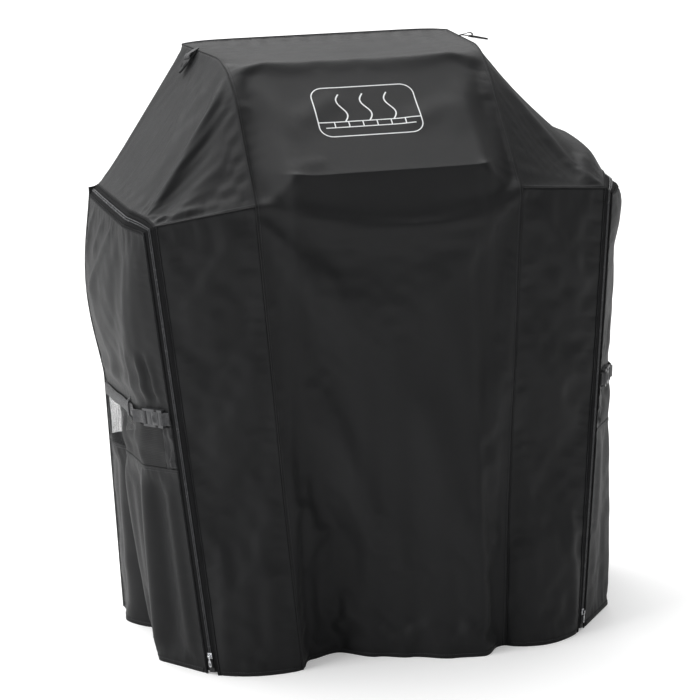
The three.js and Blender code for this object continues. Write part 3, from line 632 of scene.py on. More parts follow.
# ---- folds that a hanging cover takes ----
def add_folds(p, folds, sign, calm):
    """Each fold is a line from a to b in space; the cloth near it moves along its normal."""
    n = grid_normals(p) * sign
    move = np.zeros(p.shape[:2])
    for a, b, width, height, *crisp in folds:
        a, b = np.array(a, float), np.array(b, float)
        t = np.clip(((p - a) @ (b - a)) / np.dot(b - a, b - a), -0.15, 1.15)
        d = np.linalg.norm(p - (a + (b - a) * t[..., None]), axis=-1)
        ends = smooth((t + 0.15) / 0.35) * smooth((1.15 - t) / 0.35)
        shape = 1 / np.cosh(d / width) if crisp else np.exp(-((d / width) ** 2))
        move += height * ends * shape
    row, col = (np.minimum(np.arange(count), np.arange(count)[::-1]) / 4 for count in p.shape[:2])
    inner = np.minimum(row[:, None], col[None])
    return p + n * (move * smooth(inner) * (1.0 if calm is None else calm))[..., None]


def pucker(p, seed, amount, reach=13.0, period=21.0):
    """Small gathers beside the sewn edges: first row, last row, first column, last column."""
    n = grid_normals(p)
    down, across = arc(p, 0), arc(p, 1)
    sizes = [(down, across), (down[-1:] - down, across), (across, down), (across[:, -1:] - across, down)]
    move = np.zeros(p.shape[:2])
    for k, (d, s) in enumerate(sizes):
        wave = noise1(s / period + 0.35 * np.sin(d / 24.0), seed * 10 + k)
        bulk = 0.55 + 0.45 * noise1(s / 170.0, seed * 10 + k + 5, 2)
        move += wave * bulk * (d / reach) * np.exp(1 - d / reach)
    return p + n * (amount * move)[..., None]


# ---- the cloth simulation ----
CLOTH_SETTINGS = dict(
    quality=6, mass=0.25, tension_stiffness=25, compression_stiffness=25, shear_stiffness=8,
    bending_stiffness=4.0, tension_damping=12, compression_damping=12, bending_damping=2, air_damping=4,
    vertex_group_mass="held", pin_stiffness=1.2, shrink_min=-0.009, shrink_max=0.0015,
    vertex_group_shrink="taut",
)
MOVE_LIMIT = 16.0


def upsample(d):
    """Smooth values between every two rows and columns of a grid."""
    for axis in (0, 1):
        d = np.moveaxis(d, axis, 0)
        pad = np.concatenate([2 * d[:1] - d[1:2], d, 2 * d[-1:] - d[-2:-1]])
        out = np.zeros((2 * len(d) - 1, *d.shape[1:]))
        out[::2], out[1::2] = d, (-pad[:-3] + 9 * pad[1:-2] + 9 * pad[2:-1] - pad[3:]) / 16
        d = np.moveaxis(out, 0, axis)
    return d


def relax(panels, frames=24):
    """Lets the panels hang as slack cloth held at their seams, and returns how far each point moved."""
    points, faces, held, taut, starts = [], [], [], [], []
    for panel in panels:
        c = panel["grid"][::2, ::2]
        rows, cols = c.shape[:2]
        base = len(points)
        starts.append((base, rows, cols))
        points += (c.reshape(-1, 3) / 1000).tolist()
        faces += [tuple(base + k for k in f) for f in grid_faces(rows, cols)]
        w = np.full((rows, cols), panel.get("hold", 0.04))
        if panel["calm"] is not None:
            w = np.where(panel["calm"][::2, ::2] < 0.3, 1, w)
        w[0], w[-1], w[:, 0], w[:, -1] = 1, 1, 1, 1
        held += w.ravel().tolist()
        taut += (np.zeros((rows, cols)) + panel.get("tight", 0.0)).ravel().tolist()
    me = bpy.data.meshes.new("relax")
    me.from_pydata(points, [], faces)
    obj = new_object("relax", me)
    for name, values in (("held", held), ("taut", taut)):
        group = obj.vertex_groups.new(name=name)
        levels = np.round(np.array(values), 2)
        for level in np.unique(levels):
            group.add(np.nonzero(levels == level)[0].tolist(), float(level), "REPLACE")
    mod = obj.modifiers.new("cloth", "CLOTH")
    for key, value in CLOTH_SETTINGS.items():
        setattr(mod.settings, key, value)
    mod.collision_settings.use_collision = False
    mod.point_cache.frame_start, mod.point_cache.frame_end = 1, frames
    scene = bpy.context.scene
    scene.frame_start, scene.frame_end = 1, frames
    for f in range(1, frames + 1):
        scene.frame_set(f)
    e = obj.evaluated_get(bpy.context.evaluated_depsgraph_get()).to_mesh()
    after = np.zeros(len(e.vertices) * 3)
    e.vertices.foreach_get("co", after)
    moved = (after.reshape(-1, 3) - np.array(points)) * 1000
    bpy.data.objects.remove(obj)
    bpy.data.meshes.remove(me)
    scene.frame_set(1)
    return [moved[base:base + rows * cols].reshape(rows, cols, 3) for base, rows, cols in starts]


def settle(panels):
    for panel, moved in zip(panels, relax(panels)):
        d = upsample(moved)
        size = np.linalg.norm(d, axis=-1, keepdims=True)
        d = d * (np.tanh(size / MOVE_LIMIT) * MOVE_LIMIT / np.maximum(size, 1e-9))
        panel["grid"] = panel["grid"] + d * panel.get("drape", 1.0)


# ---- the panels ----
panels = {}


def add_panel(name, grid, outward, body, material=CLOTH, slot="cloth", folds=(), soften=2, calm=None,
              **facts):
    """outward is a rough direction out of the cover; soften is how often the creases are rounded."""
    sign = 1 if np.sum(grid_normals(grid).mean((0, 1)) * np.array(outward, float)) > 0 else -1
    for _ in range(soften):
        inner = grid.copy()
        inner[1:-1] = (grid[:-2] + 2 * grid[1:-1] + grid[2:]) / 4
        inner[:, 1:-1] = (inner[:, :-2] + 2 * inner[:, 1:-1] + inner[:, 2:]) / 4
        inner[0], inner[-1], inner[:, 0], inner[:, -1] = grid[0], grid[-1], grid[:, 0], grid[:, -1]
        grid = inner
    facts.update(cut=grid, grid=add_folds(grid, folds, sign, calm), calm=calm)
    panels[name] = dict(facts, sign=sign, body=body, material=material, slot=slot)


# each fold: where it starts and ends, its width and its height
FRONT_FOLDS = [
    ((-186, -300, 962), (-192, -322, 10), 20, 9),
    ((-146, -290, 900), (-140, -262, 20), 34, -13),
    ((192, -300, 962), (206, -318, 20), 17, 6),
    ((168, -300, 900), (178, -330, 60), 20, -6),
    ((-60, -310, 760), (-165, -300, 420), 30, 5),
    ((10, -310, 640), (-120, -290, 230), 34, 6),
    ((60, -310, 800), (160, -320, 470), 30, 4),
    ((20, -310, 560), (150, -340, 200), 34, 6),
    ((-30, -325, 330), (60, -345, 20), 26, 6),
    ((110, -350, 300), (120, -360, 0), 24, 5),
    ((-90, -270, 300), (-60, -250, 0), 22, -6),
    ((-190, -290, 966), (-256, -276, 905), 15, 6),
    ((188, -290, 966), (254, -276, 905), 15, 5),
    ((-150, -180, 1060), (-60, -130, 1090), 26, 3),
    ((60, -190, 1040), (170, -150, 1070), 26, 3),
    ((-200, 60, 1147), (40, 120, 1147), 30, 4),
    ((20, 40, 1147), (210, 150, 1147), 28, -4),
    ((-120, 190, 1147), (120, 200, 1147), 26, 4),
    ((-236, -70, 1130), (-150, -200, 1020), 26, 3.5),
    ((-240, -90, 1110), (-215, -230, 970), 18, -3),
    ((236, -70, 1130), (150, -205, 1015), 26, 3.5),
    ((240, -90, 1110), (200, -235, 965), 18, -3),
    ((244, -100, 1100), (232, -240, 950), 12, 3),
    ((-200, -262, 975), (-120, -255, 985), 12, 2.5),
]
REAR_FOLDS = [
    ((-150, 205, 800), (-180, 195, 40), 24, 6),
    ((40, 210, 700), (0, 200, 60), 26, -6),
    ((170, 205, 820), (150, 200, 80), 26, 6),
]
# the next two are for the right side, and are mirrored for the left one
FRONT_SIDE_FOLDS = [
    ((300, -272, 860), (395, -262, 700), 24, 6),
    ((250, -295, 760), (380, -272, 560), 26, -6),
    ((240, -300, 640), (370, -282, 430), 26, 7),
    ((230, -305, 500), (350, -290, 300), 26, -6),
    ((225, -310, 380), (330, -300, 120), 26, 7),
    ((350, -290, 250), (362, -292, 0), 18, 7),
    ((270, -305, 220), (262, -305, 0), 18, 6),
]
REAR_SIDE_FOLDS = [
    ((400, 200, 840), (420, 180, 500), 24, 6),
    ((330, 210, 800), (350, 190, 480), 24, -6),
    ((400, 180, 330), (400, 170, 10), 24, 7),
    ((320, 190, 350), (310, 185, 10), 22, -6),
]
# the rest start and end at (q, height), or at (q, v) on a shoulder; the flap is gathered above the strap,
# loose below it, and slack at the zip's corner
FLAP_FOLDS = [
    (0.42, 868, 0.80, 700, 9, 6, "crisp"),
    (0.83, 872, 0.96, 740, 8, 5, "crisp"),
    (0.62, 872, 0.78, 770, 8, 4, "crisp"),
    (0.10, 850, 0.30, 560, 34, 5),
    (0.30, 850, 0.55, 560, 34, -5),
    (0.80, 720, 0.62, 520, 30, 5),
    (0.12, 620, 0.07, 520, 8, 5),
    (0.17, 620, 0.14, 520, 8, -5),
    (0.21, 620, 0.20, 520, 8, 5),
    (0.34, 620, 0.33, 515, 11, 4),
    (0.12, 560, 0.50, 548, 16, 7),
    (0.50, 548, 0.95, 530, 18, 8),
]
SKIRT_FOLDS = [
    (0.10, 390, 0.08, 30, 18, 8),
    (0.20, 390, 0.19, 10, 16, -8),
    (0.31, 390, 0.32, 0, 20, 9),
    (0.47, 385, 0.45, 0, 22, -9),
    (0.66, 380, 0.65, 0, 22, 9),
    (0.85, 380, 0.86, 20, 22, -6),
]
SHOULDER_FOLDS = {
    "left": [
        (0.30, 0.05, 0.17, 0.92, 9, 7, "crisp"),
        (0.23, 0.25, 0.10, 0.90, 22, -6),
        (0.14, 0.15, 0.04, 0.72, 24, 5),
        (0.03, 0.35, 0.06, 0.90, 9, 5, "crisp"),
        (0.075, 0.82, 0.06, 1.02, 7, 5),
        (0.05, 0.84, 0.035, 1.02, 6, -4),
        (0.55, 0.10, 0.30, 0.80, 10, 2.0, "crisp"),
        (0.70, 0.55, 0.40, 0.95, 40, 3),
    ],
    "right": [
        (0.29, 0.10, 0.18, 0.55, 26, 3),
        (0.02, 0.76, 0.24, 0.80, 16, 5),
        (0.06, 0.92, 0.22, 0.94, 9, -3),
    ],
}


def placed_folds(side, point, folds, ease=1.0):
    """Folds whose ends are found on the side's shape; ease is how much of their height it takes."""
    return [(point(side, a, b), point(side, c, d), width, height * ease, *crisp)
            for a, b, c, d, width, height, *crisp in folds]


def mirrored(side, folds):
    return [(on_side(side, a), on_side(side, b), *size) for a, b, *size in folds]


def index_of(values, level):
    return int(np.nonzero(np.isclose(values, level))[0][0])


grid = front_top_grid((32, 34, 92), 52)
top_taut = np.full(grid[::2, ::2].shape[:2], 0.45)  # stretched over the lid, slack down the front
top_taut[:34] = 1
top_taut[34:42] = np.linspace(0.95, 0.5, 8)[:, None]
add_panel("front_top_panel", grid, (0, -1, 0.3), "cover", folds=FRONT_FOLDS, soften=1, gather=0.6,
          tight=top_taut)
add_panel("rear_centre_panel", rear_centre_grid(), (0, 1, 0), "cover", folds=REAR_FOLDS)

for label, side in SIDES.items():
    sign, loose, flap = side["sign"], side["loose"], label + "_flap"
    out = (sign, -0.2, 0)
    add_panel(
        label + "_shoulder_panel", shoulder_grid(side), (sign, 0, 1), "cover", hold=0.12, tight=1.0,
        gather=0.5 * loose, drape=loose, folds=placed_folds(side, shoulder_point, SHOULDER_FOLDS[label]),
    )
    add_panel(
        label + "_front_side_panel", front_side_grid(side), (0, -1, 0), "cover", tight=0.4,
        folds=mirrored(side, FRONT_SIDE_FOLDS),
    )
    grid, rows = rear_side_grid(side)
    window = (*(index_of(rows[:, 0], z) for z in WINDOW_Z), index_of(REAR_U, WINDOW_U))
    add_panel(
        label + "_rear_side_panel", grid, (0, 1, 0), "cover", soften=0, window=window,
        folds=mirrored(side, REAR_SIDE_FOLDS),
    )
    grid = side_grid(side, "flap")
    calm = smooth((arc(grid)[-1:] - arc(grid) - 26) / 32)
    add_panel(
        label + "_flap_panel", grid, out, flap, calm=calm, hold=0.08, tight=side["taut"], drape=0.45,
        folds=placed_folds(side, side_point, FLAP_FOLDS, loose),
    )
    grid = side_grid(side, "vent", 0.1, 1.0, 38)
    across = np.linspace(0.1, 1.0, 39)[None] + 0 * grid[..., 0]
    add_panel(
        label + "_vent_mesh", grid, out, flap, MESH, "mesh_cloth", dense=smooth((0.74 - across) / 0.04),
        folds=placed_folds(side, side_point, [(0.3, 470, 0.7, 400, 30, 4)]),
    )
    add_panel(label + "_edge_strip", side_grid(side, "vent", 0.0, 0.1, 6), out, flap, STRIP, gather=2.2)
    add_panel(
        label + "_skirt_panel", side_grid(side, "skirt"), out, flap, tight=0.65 - 0.25 * loose, drape=0.55,
        folds=placed_folds(side, side_point, SKIRT_FOLDS, loose),
    )

settle(list(panels.values()))
for k, panel in enumerate(panels.values()):
    p = upsample(panel["grid"])
    if panel["slot"] == "cloth":
        p = pucker(p, k + 3, panel.get("gather", 1.15) * panel["sign"])
    panel["p"] = p
    panel["n"] = grid_normals(p) * panel["sign"]


# ---- panel meshes ----
def point_values(obj, name, values):
    obj.data.attributes.new(name, "FLOAT", "POINT").data.foreach_set("value", values)


def sheet_object(name, panel, keep=None, **other):
    """The panel's cloth, or only the cells that keep allows."""
    panel = {**panel, **other}
    p = panel["p"]
    rows, cols = p.shape[:2]
    faces = grid_faces(rows, cols, keep)
    if panel["sign"] < 0:
        faces = [f[::-1] for f in faces]
    used = np.unique(np.array(faces).ravel())
    index = np.zeros(rows * cols, int)
    index[used] = np.arange(len(used))
    u, v = arc(p, 1), arc(p, 0)
    uvs = np.stack([u - u[:, cols // 2:cols // 2 + 1], v], -1).reshape(-1, 2) / 1000
    obj = add_piece(name, p.reshape(-1, 3)[used], index[np.array(faces)], panel["material"], panel["body"],
                    uvs[used])
    edge = np.minimum(np.minimum(u, u[:, -1:] - u), np.minimum(v, v[-1:] - v))
    point_values(obj, "wear", np.exp(-edge / 5.0).reshape(-1)[used])
    if "dense" in panel:
        point_values(obj, "dense", upsample(panel["dense"]).reshape(-1)[used])
    solid = obj.modifiers.new("thickness", "SOLIDIFY")
    solid.thickness = 0.0006 if panel["slot"] == "mesh_cloth" else 0.0012
    solid.offset = -1
    return obj


for name, panel in panels.items():
    cloth_name = name.replace("_panel", "") + "_cloth"
    if "window" in panel:
        first, last, col = (2 * k for k in panel["window"])

        def hole(i, j):
            return first <= i < last and j < col

        cloth = sheet_object(cloth_name, panel, lambda i, j: not hole(i, j))
        vent_name = name.replace("side_panel", "vent_net")
        vent = sheet_object(vent_name, panel, hole, material=MESH, slot="mesh_cloth")
        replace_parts(vent, name.replace("side_panel", "vent_mesh"))
    else:
        cloth = sheet_object(cloth_name, panel)
    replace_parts(cloth, name)

# ---- seams: very dark welts that paint the seams' shade lines, bindings and stitches ----
EDGES = {
    "top": lambda g: g,
    "bottom": lambda g: g[::-1],
    "first": lambda g: g.swapaxes(0, 1),
    "last": lambda g: g[:, ::-1].swapaxes(0, 1),
}
WELT = (1.25, 0.25)  # radius and lift
BINDINGS = {  # how far from the edge it starts and ends, its height, and its rows of stitches
    "seam": (1.4, 6.6, 0.24, [4.9]),
    "shoulder": (1.4, 6.2, 0.24, [4.7]),
    "rear": (1.4, 6.6, 0.3, [4.9]),
    "hinge": (1.4, 7.4, 0.7, [5.8]),
    "vent": (0.0, 8.0, 0.9, [2.0, 6.4]),
    "zip": (0.0, 6.0, 1.2, [4.4]),
    "hem": (0, 9.0, 0.9, [7.4]),
}
MIDDLE_EDGES = [
    ("front_top_panel", "first", "seam"),
    ("rear_centre_panel", "first", "seam"),
    ("front_top_panel", "last", "seam"),
    ("rear_centre_panel", "last", "seam"),
    ("front_top_panel", "top", "seam"),
    ("front_top_panel", "bottom", "hem"),
    ("rear_centre_panel", "bottom", "hem"),
]
SIDE_EDGES = [
    ("_shoulder_panel", "first", "shoulder"),
    ("_shoulder_panel", "last", "shoulder"),
    ("_shoulder_panel", "bottom", "zip"),
    ("_front_side_panel", "last", "zip"),
    ("_front_side_panel", "bottom", "hem"),
    ("_rear_side_panel", "bottom", "hem"),
    ("_rear_side_panel", "first", "rear"),
    ("_flap_panel", "first", "zip"),
    ("_flap_panel", "top", "zip"),
    ("_skirt_panel", "first", "zip"),
    ("_edge_strip", "first", "zip"),
    ("_flap_panel", "bottom", "vent"),
    ("_skirt_panel", "top", "vent"),
    ("_flap_panel", "last", "hinge"),
    ("_skirt_panel", "last", "hinge"),
    ("_skirt_panel", "bottom", "hem"),
]
RING = [(math.cos(a), math.sin(a)) for a in np.linspace(0, 2 * math.pi, 7)[:6]]
STITCH_SIZE = (1.75, 0.42, 0.34)
STITCH = np.array(
    [(-1, 0, 0)] + [(-0.6, c, s) for c, s in RING] + [(0.6, c, s) for c, s in RING] + [(1, 0, 0)]
) * np.array(STITCH_SIZE)
STITCH_FACES = (
    [(0, 1 + (k + 1) % 6, 1 + k) for k in range(6)]
    + [(1 + k, 1 + (k + 1) % 6, 7 + (k + 1) % 6, 7 + k) for k in range(6)]
    + [(13, 7 + k, 7 + (k + 1) % 6) for k in range(6)]
)
thread, strips, shade_welts = {}, {}, []


def track(panel, edge, dist):
    """Points and normals on the panel at a distance from one of its edges."""
    g, n = EDGES[edge](panel["p"]), EDGES[edge](panel["n"])
    d = arc(g)
    points, normals = ([[np.interp(dist, d[:, j], a[:, j, c]) for c in range(3)] for j in range(g.shape[1])]
                       for a in (g, n))
    return np.array(points), unit(np.array(normals))


def resample(step, *arrays):
    """The arrays at even steps along the first one's length."""
    d = arc(arrays[0])
    s = np.linspace(0, d[-1], max(2, round(d[-1] / step) + 1))
    return [np.stack([np.interp(s, d, a[:, c]) for c in range(a.shape[1])], -1) for a in arrays]


def stitch(body, points, normals, pitch=4.4, lift=0.15, size=1.0):
    """A row of stitches along a line on the cloth."""
    p, n = resample(pitch, points, normals)
    centre, n = (p[1:] + p[:-1]) / 2 + (n[1:] + n[:-1]) / 2 * lift, unit(n[1:] + n[:-1])
    x = unit(p[1:] - p[:-1])
    y = unit(np.cross(n, x))
    z = np.cross(x, y)
    t = STITCH * size
    verts = centre[:, None] + t[:, :1] * x[:, None] + t[:, 1:2] * y[:, None] + t[:, 2:] * z[:, None]
    thread.setdefault(body, []).append(verts.reshape(-1, 3))


def binding(name, edge, kind):
    """A sewn fold of cloth beside an edge: a low flat strip that follows the panel."""
    panel = panels[name]
    d0, d1, height, stitch_rows = BINDINGS[kind]
    w = d1 - d0
    ends = 2 if kind == "hem" else 0
    inner = slice(ends, len(track(panel, edge, 0)[0]) - ends)
    profile = [(d0, -0.5), (d0, height * 0.8), (d0 + 0.12 * w, height), (d0 + 0.5 * w, height * 1.05),
               (d1 - 0.12 * w, height), (d1, height * 0.7), (d1, -0.5)]
    lines = []
    for d, h in profile:
        p, n = track(panel, edge, max(d, 0))
        lines.append(p + n * h)
    group = "_zip_edge" if kind == "zip" else "_binding"
    strips.setdefault((name, group), []).append(np.stack(lines, 1)[inner])
    for d in stitch_rows:
        p, n = (a[inner] for a in track(panel, edge, d))
        stitch(panel["body"], p + n * height, n)


def shade_welt(points, normals, radius, lift, sides=8):
    """A round bar along a seam; in the very dark material it paints the seam's shade line."""
    p, n = resample(4.0, points, normals)
    y = unit(np.cross(n, unit(np.gradient(p, axis=0))))
    a = np.linspace(0, 2 * math.pi, sides + 1)[:-1]
    ring = np.cos(a)[None, :, None] * y[:, None] + np.sin(a)[None, :, None] * n[:, None]
    shade_welts.append((p + n * lift)[:, None] + radius * ring)


front, rear = panels["front_top_panel"], panels["rear_centre_panel"]
for edge in ("first", "last"):
    for panel in (front, rear):
        shade_welt(*track(panel, edge, 0), *WELT)
p, n = track(front, "top", 0)
shade_welt(p, n + np.array([0, 0.7, 0]), 1.5, 0.1)
for row in MIDDLE_EDGES:
    binding(*row)
for label, side in SIDES.items():
    for edge in ("first", "last"):
        shade_welt(*track(panels[label + "_shoulder_panel"], edge, 0), *WELT)
    p, n = track(panels[label + "_rear_side_panel"], "first", 0)
    shade_welt(p, unit(n + np.array([side["sign"], 0, 0])), 1.6, 0.2)
    for name, edge, kind in SIDE_EDGES:
        binding(label + name, edge, kind)
    p, n = track(panels[label + "_edge_strip"], "last", 0)
    stitch(label + "_flap", p + n * 0.9, n)
# the welts in very dark plastic: painted shade lines along the seams
seam_welts = sweep_piece("seam_welts", shade_welts, PAINTED_SHADE, "cover")
bindings = {}
for (name, group), parts in strips.items():
    paint, kind = (TAPE, "zip_tape") if group == "_zip_edge" else (CLOTH, "cloth")
    piece = sweep_piece(name.replace("_panel", "") + group, parts, paint, panels[name]["body"])
    bindings.setdefault(name, []).append(piece)


# ---- zips ----
COIL_PITCH = 2.6
COIL_RADII = (1.45, 1.7)  # across the band, and out of it


def zip_stations(side):
    """The band's root and flap edges, from the hem up the corner line and along the shelf edge."""
    zc, zh = side["corner"][0][2] - CHAMFER, side["hinge"][0][2] - CHAMFER
    z = np.linspace(6, zc, 150)
    root, flap = root_edge(side, z), flap_edge(side, z)
    turn = np.linspace(0, 1, 6)[1:]
    q = np.linspace(0, 1, 90)[1:]
    corner = shoulder_edge(side, np.zeros(1))[0]
    root = np.concatenate([root, mix(root[-1], corner, turn), shoulder_edge(side, q)])
    flap = np.concatenate([flap, np.repeat(flap[-1:], 5, 0), side_point(side, q, zc + (zh - zc) * q)])
    return root[:-1], flap[:-1]


def band_frame(side, step):
    root, flap = resample(step, *zip_stations(side))
    across = unit(flap - root)
    travel = unit(np.gradient((root + flap) / 2, axis=0))
    n = unit(np.cross(travel, across))
    n = np.where((n @ np.array([side["sign"], -0.5, 0.5]) < 0)[:, None], -n, n)
    return root, flap, unit(n)


def zip_tape(side, name, body, f0, f1):
    """A flat tape between two shares of the band's width."""
    profile = [(0, -0.5), (0.5, -0.35), (1, -0.3), (1, -1.0), (0.5, -1.05), (0, -1.2)]
    root, flap, n = band_frame(side, 6.0)
    lines = [root + (flap - root) * (f0 + (f1 - f0) * f) + n * h for f, h in profile]
    return sweep_piece(name, [np.stack(lines, 1)], TAPE, body)


def zip_coil(side, name, body, centre, phase):
    """Coiled nylon teeth: a bar whose skin winds like a screw thread."""
    root, flap, n = band_frame(side, COIL_PITCH / 4)
    c = root + (flap - root) * centre
    turns = np.arange(len(c)) / 4 + phase
    a = np.linspace(0, 2 * math.pi, 9)[:-1]
    r = 1 + 0.2 * np.cos(2 * math.pi * turns[:, None] + a[None])
    y, z = COIL_RADII[0] * r * np.cos(a), COIL_RADII[1] * r * np.sin(a)
    sections = c[:, None] + y[..., None] * unit(flap - root)[:, None] + z[..., None] * n[:, None]
    return sweep_piece(name, [sections], COIL, body)


for label, side in SIDES.items():
    for half, body, f0, f1, centre, phase in (
        ("root", "cover", -0.06, 0.44, 0.425, 0.0),
        ("flap", label + "_flap", 1.06, 0.56, 0.575, 0.5),
    ):
        tape = zip_tape(side, f"{label}_tape_{half}", body, f0, f1)
        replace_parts(tape, f"{label}_zip_tape_{half}")
        coil = zip_coil(side, f"{label}_coil_{half}", body, centre, phase)
        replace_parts(coil, f"{label}_zip_coil_{half}")

for label, side in SIDES.items():
    # a rounded cap over the zip's end at the hinge seam
    root, flap, n = band_frame(side, 6.0)
    hinge = on_side(side, side["hinge"][0])
    sections = []
    for t in np.linspace(-0.15, 0.96, 7):
        a, b = mix(root[-1], hinge, t), mix(flap[-1], hinge, t)
        lift = 1.6 * math.sqrt(max(0.05, 1 - t * t))
        upper = ((-0.1, -0.2), (0.1, 0.8), (0.5, 1), (0.9, 0.8), (1.1, -0.2))
        line = [mix(a, b, f) + n[-1] * h * lift for f, h in upper]
        sections.append(line + [mix(a, b, f) - n[-1] * 1.2 for f in (1.0, 0.5, 0.0)])
    sweep_piece(label + "_zip_end", [sections], TAPE, "cover")


# ---- straps ----
def strap_z(q):
    return STRAP_Z[0] + (STRAP_Z[1] - STRAP_Z[0]) * q


def on_strap(side, q):
    return side_point(side, q, strap_z(q))


def up_cloth(side, q, x):
    """The direction up the cloth at the strap, square to x."""
    return square_to(unit(side_point(side, q, strap_z(q) + 20) - side_point(side, q, strap_z(q) - 20)), x)


def buckle_frame(side):
    corner = line_at(side, side["corner"], STRAP_Z[0])
    start, knee = on_strap(side, 0.0), on_strap(side, KNEE_Q)
    x = unit(knee - start)
    y = up_cloth(side, 0.15, x)
    z = np.cross(x, y) * side["sign"]
    origin = start + x * (BUCKLE_AT - np.linalg.norm(start - corner))
    return origin, x, y, z, float(np.linalg.norm(origin - knee))


def catmull(y, s):
    """A smooth curve through the values y, at s."""
    k = np.clip(np.floor(s).astype(int), 0, len(y) - 2)
    f = s - k
    a, b = y[np.maximum(k - 1, 0)], y[k]
    c, d = y[k + 1], y[np.minimum(k + 2, len(y) - 1)]
    return b + 0.5 * f * (c - a + f * (2 * a - 5 * b + 4 * c - d + f * (3 * (b - c) + d - a)))


def webbing(name, path, side_axis, width, thick, body, step=1.5, crown=0.25):
    """Flat webbing along a path of points; side_axis is one direction or one for each point."""
    p = np.asarray(path, float)
    w = np.broadcast_to(np.asarray(side_axis, float), p.shape)
    t = np.arange(len(p))
    s = np.linspace(0, len(p) - 1, 1 + 6 * (len(p) - 1))
    dense = np.stack([catmull(p[:, c], s) for c in range(3)], -1)
    wide = unit(np.stack([np.interp(s, t, w[:, c]) for c in range(3)], -1))
    dense, wide = resample(step, dense, wide)
    travel = unit(np.gradient(dense, axis=0))
    wide = unit(wide - travel * np.sum(wide * travel, -1, keepdims=True))
    out = np.cross(travel, wide)
    h, q = width / 2, thick / 2
    shoulder = q + crown * 0.3
    ring = [(-h, 0), (-h + 0.5, q * 0.8), (-h * 0.5, shoulder), (0, q + crown * 0.4), (h * 0.5, shoulder),
            (h - 0.5, q * 0.8), (h, 0), (h - 0.5, -q * 0.8), (0, -q), (-h + 0.5, -q * 0.8)]
    sections = np.stack([dense + wide * a + out * b for a, b in ring], 1)
    return sweep_piece(name, [sections], WEBBING, body)


def box_stitch(body, at, z, x0, x1, half, lift):
    """A sewn rectangle with a cross in it, on flat webbing."""
    corners = [at(a, b, lift) for a, b in ((x0, -half), (x1, -half), (x1, half), (x0, half), (x0, -half))]
    for a, b in list(zip(corners, corners[1:])) + [(corners[0], corners[2]), (corners[1], corners[3])]:
        stitch(body, np.linspace(a, b, 6), np.repeat(z[None], 6, 0), pitch=3.0, size=0.72)


def pad(name, at, x0, x1, half, z0, z1, body, material, edge=1.6, shift=0.0):
    """A crowned plastic pad from x0 to x1, half its width to each side, and from z0 to z1 high."""
    sections = []
    crown = edge * 0.7
    for s, inset, rise in ((0, edge, 0), (0, 0, 0.0), (0.04, 0, 0.7), (0.12, crown, 1), (0.5, crown, 1.12),
                           (0.88, crown, 1), (0.96, 0, 0.7), (1, 0, 0.0), (1, edge, 0)):
        a, w = x0 + (x1 - x0) * s, half - inset
        top = z0 + (z1 - z0) * rise
        ring = [(-w, z0), (-w, z0 + (top - z0) * 0.6), (-w + edge * 0.6, top), (0, top + 0.25 * rise),
                (w - edge * 0.6, top), (w, z0 + (top - z0) * 0.6), (w, z0)]
        sections.append([at(a, b + shift, c) for b, c in ring])
    return sweep_piece(name, [sections], material, body)


MID = 3.5  # the strap's height over the cloth at the buckle
STRAP_STOPS = (0.42, 0.475, 0.53, 0.59, 0.65, 0.71, 0.77, 0.83, 0.88, 0.93, 0.965)
# along the buckle's x axis, and out of the cloth
TAIL = [(17.6, 5.0), (17.4, 7.4), (18.2, 9.9), (21, 10.4), (25, 10.3), (29, 9.4), (34, 7.6), (42, 6.9),
        (52, 7.6), (60, 8.9)]
ANCHOR = [(-47, 2.2), (-40, 2.9), (-33, MID), (-29.6, 3.7), (-28.2, 6.2), (-29.2, 9.6), (-31.6, 10.5),
          (-34.6, 8.4), (-38, 5.6), (-43, 4.6), (-48, 4.1)]
HALF_LOOP = [(24, 0.9), (20, 1.2), (17.2, 2.4), (15.6, 4.6), (13, 6.0)]
LOOP = [(-a, b) for a, b in HALF_LOOP] + [(0, 6.5)] + HALF_LOOP[::-1]
TAB = [(-3, -0.2), (0, 0.9), (4, 2.7), (12, 3.1), (20, 3.2), (24.4, 4.2), (25.2, 6.4), (24.2, 8.9),
       (20.5, 9.9), (16, 9.6), (12.8, 7.4), (8.6, 5.6), (2, 3.4), (-2.5, 1.2)]


def add_strap(label, side, at, reach, y):
    """The cinch strap from the buckle plug round the side, its loose tail, and the anchor at the socket."""
    body = label + "_flap"
    end = max(BUCKLE_AT, reach + 1)
    start = (2, MID), (14, MID), (28, MID), (end * 0.75, MID + 0.3), (end, MID + 0.2)
    path = [at(a, 0, c) for a, c in start]
    wide = [y] * len(path)
    for q in STRAP_STOPS:
        t = unit(on_strap(side, q + 0.03) - on_strap(side, q - 0.03))
        v = up_cloth(side, q, t)
        n = np.cross(t, v) * side["sign"]
        path.append(on_strap(side, q) + n * (MID + 0.25 * math.sin(40 * q)) + v * 0.8 * math.sin(23 * q))
        wide.append(v)
    piece = webbing(label + "_strap_webbing", path, np.array(wide), 25, 1.7, body, step=2.5)
    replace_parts(piece, label + "_strap")
    tail = [at(a, 0, c) for a, c in TAIL]
    webbing(label + "_strap_tail", tail, y, 24.6, 1.5, label + "_buckle_plug", step=2.5)
    anchor = [at(a, 0, c) for a, c in ANCHOR]
    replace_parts(webbing(label + "_anchor_webbing", anchor, y, 24.8, 1.5, body), label + "_strap_anchor")


def add_belt_loop(label, side):
    body = label + "_flap"
    p = on_strap(side, LOOP_Q)
    x = unit(on_strap(side, 0.52) - on_strap(side, 0.43))
    y = up_cloth(side, LOOP_Q, x)
    z = np.cross(x, y) * side["sign"]
    loop = [p + y * a + z * b for a, b in LOOP]
    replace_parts(webbing(label + "_loop_webbing", loop, x, 13, 1.3, body), label + "_belt_loop")
    for a in (-22, -20.6, 20.6, 22):
        middle = p + y * a + z * 1.75
        line = np.linspace(middle - x * 5.5, middle + x * 5.5, 5)
        stitch(body, line, np.repeat(z[None], 5, 0), pitch=2.2, size=0.55)


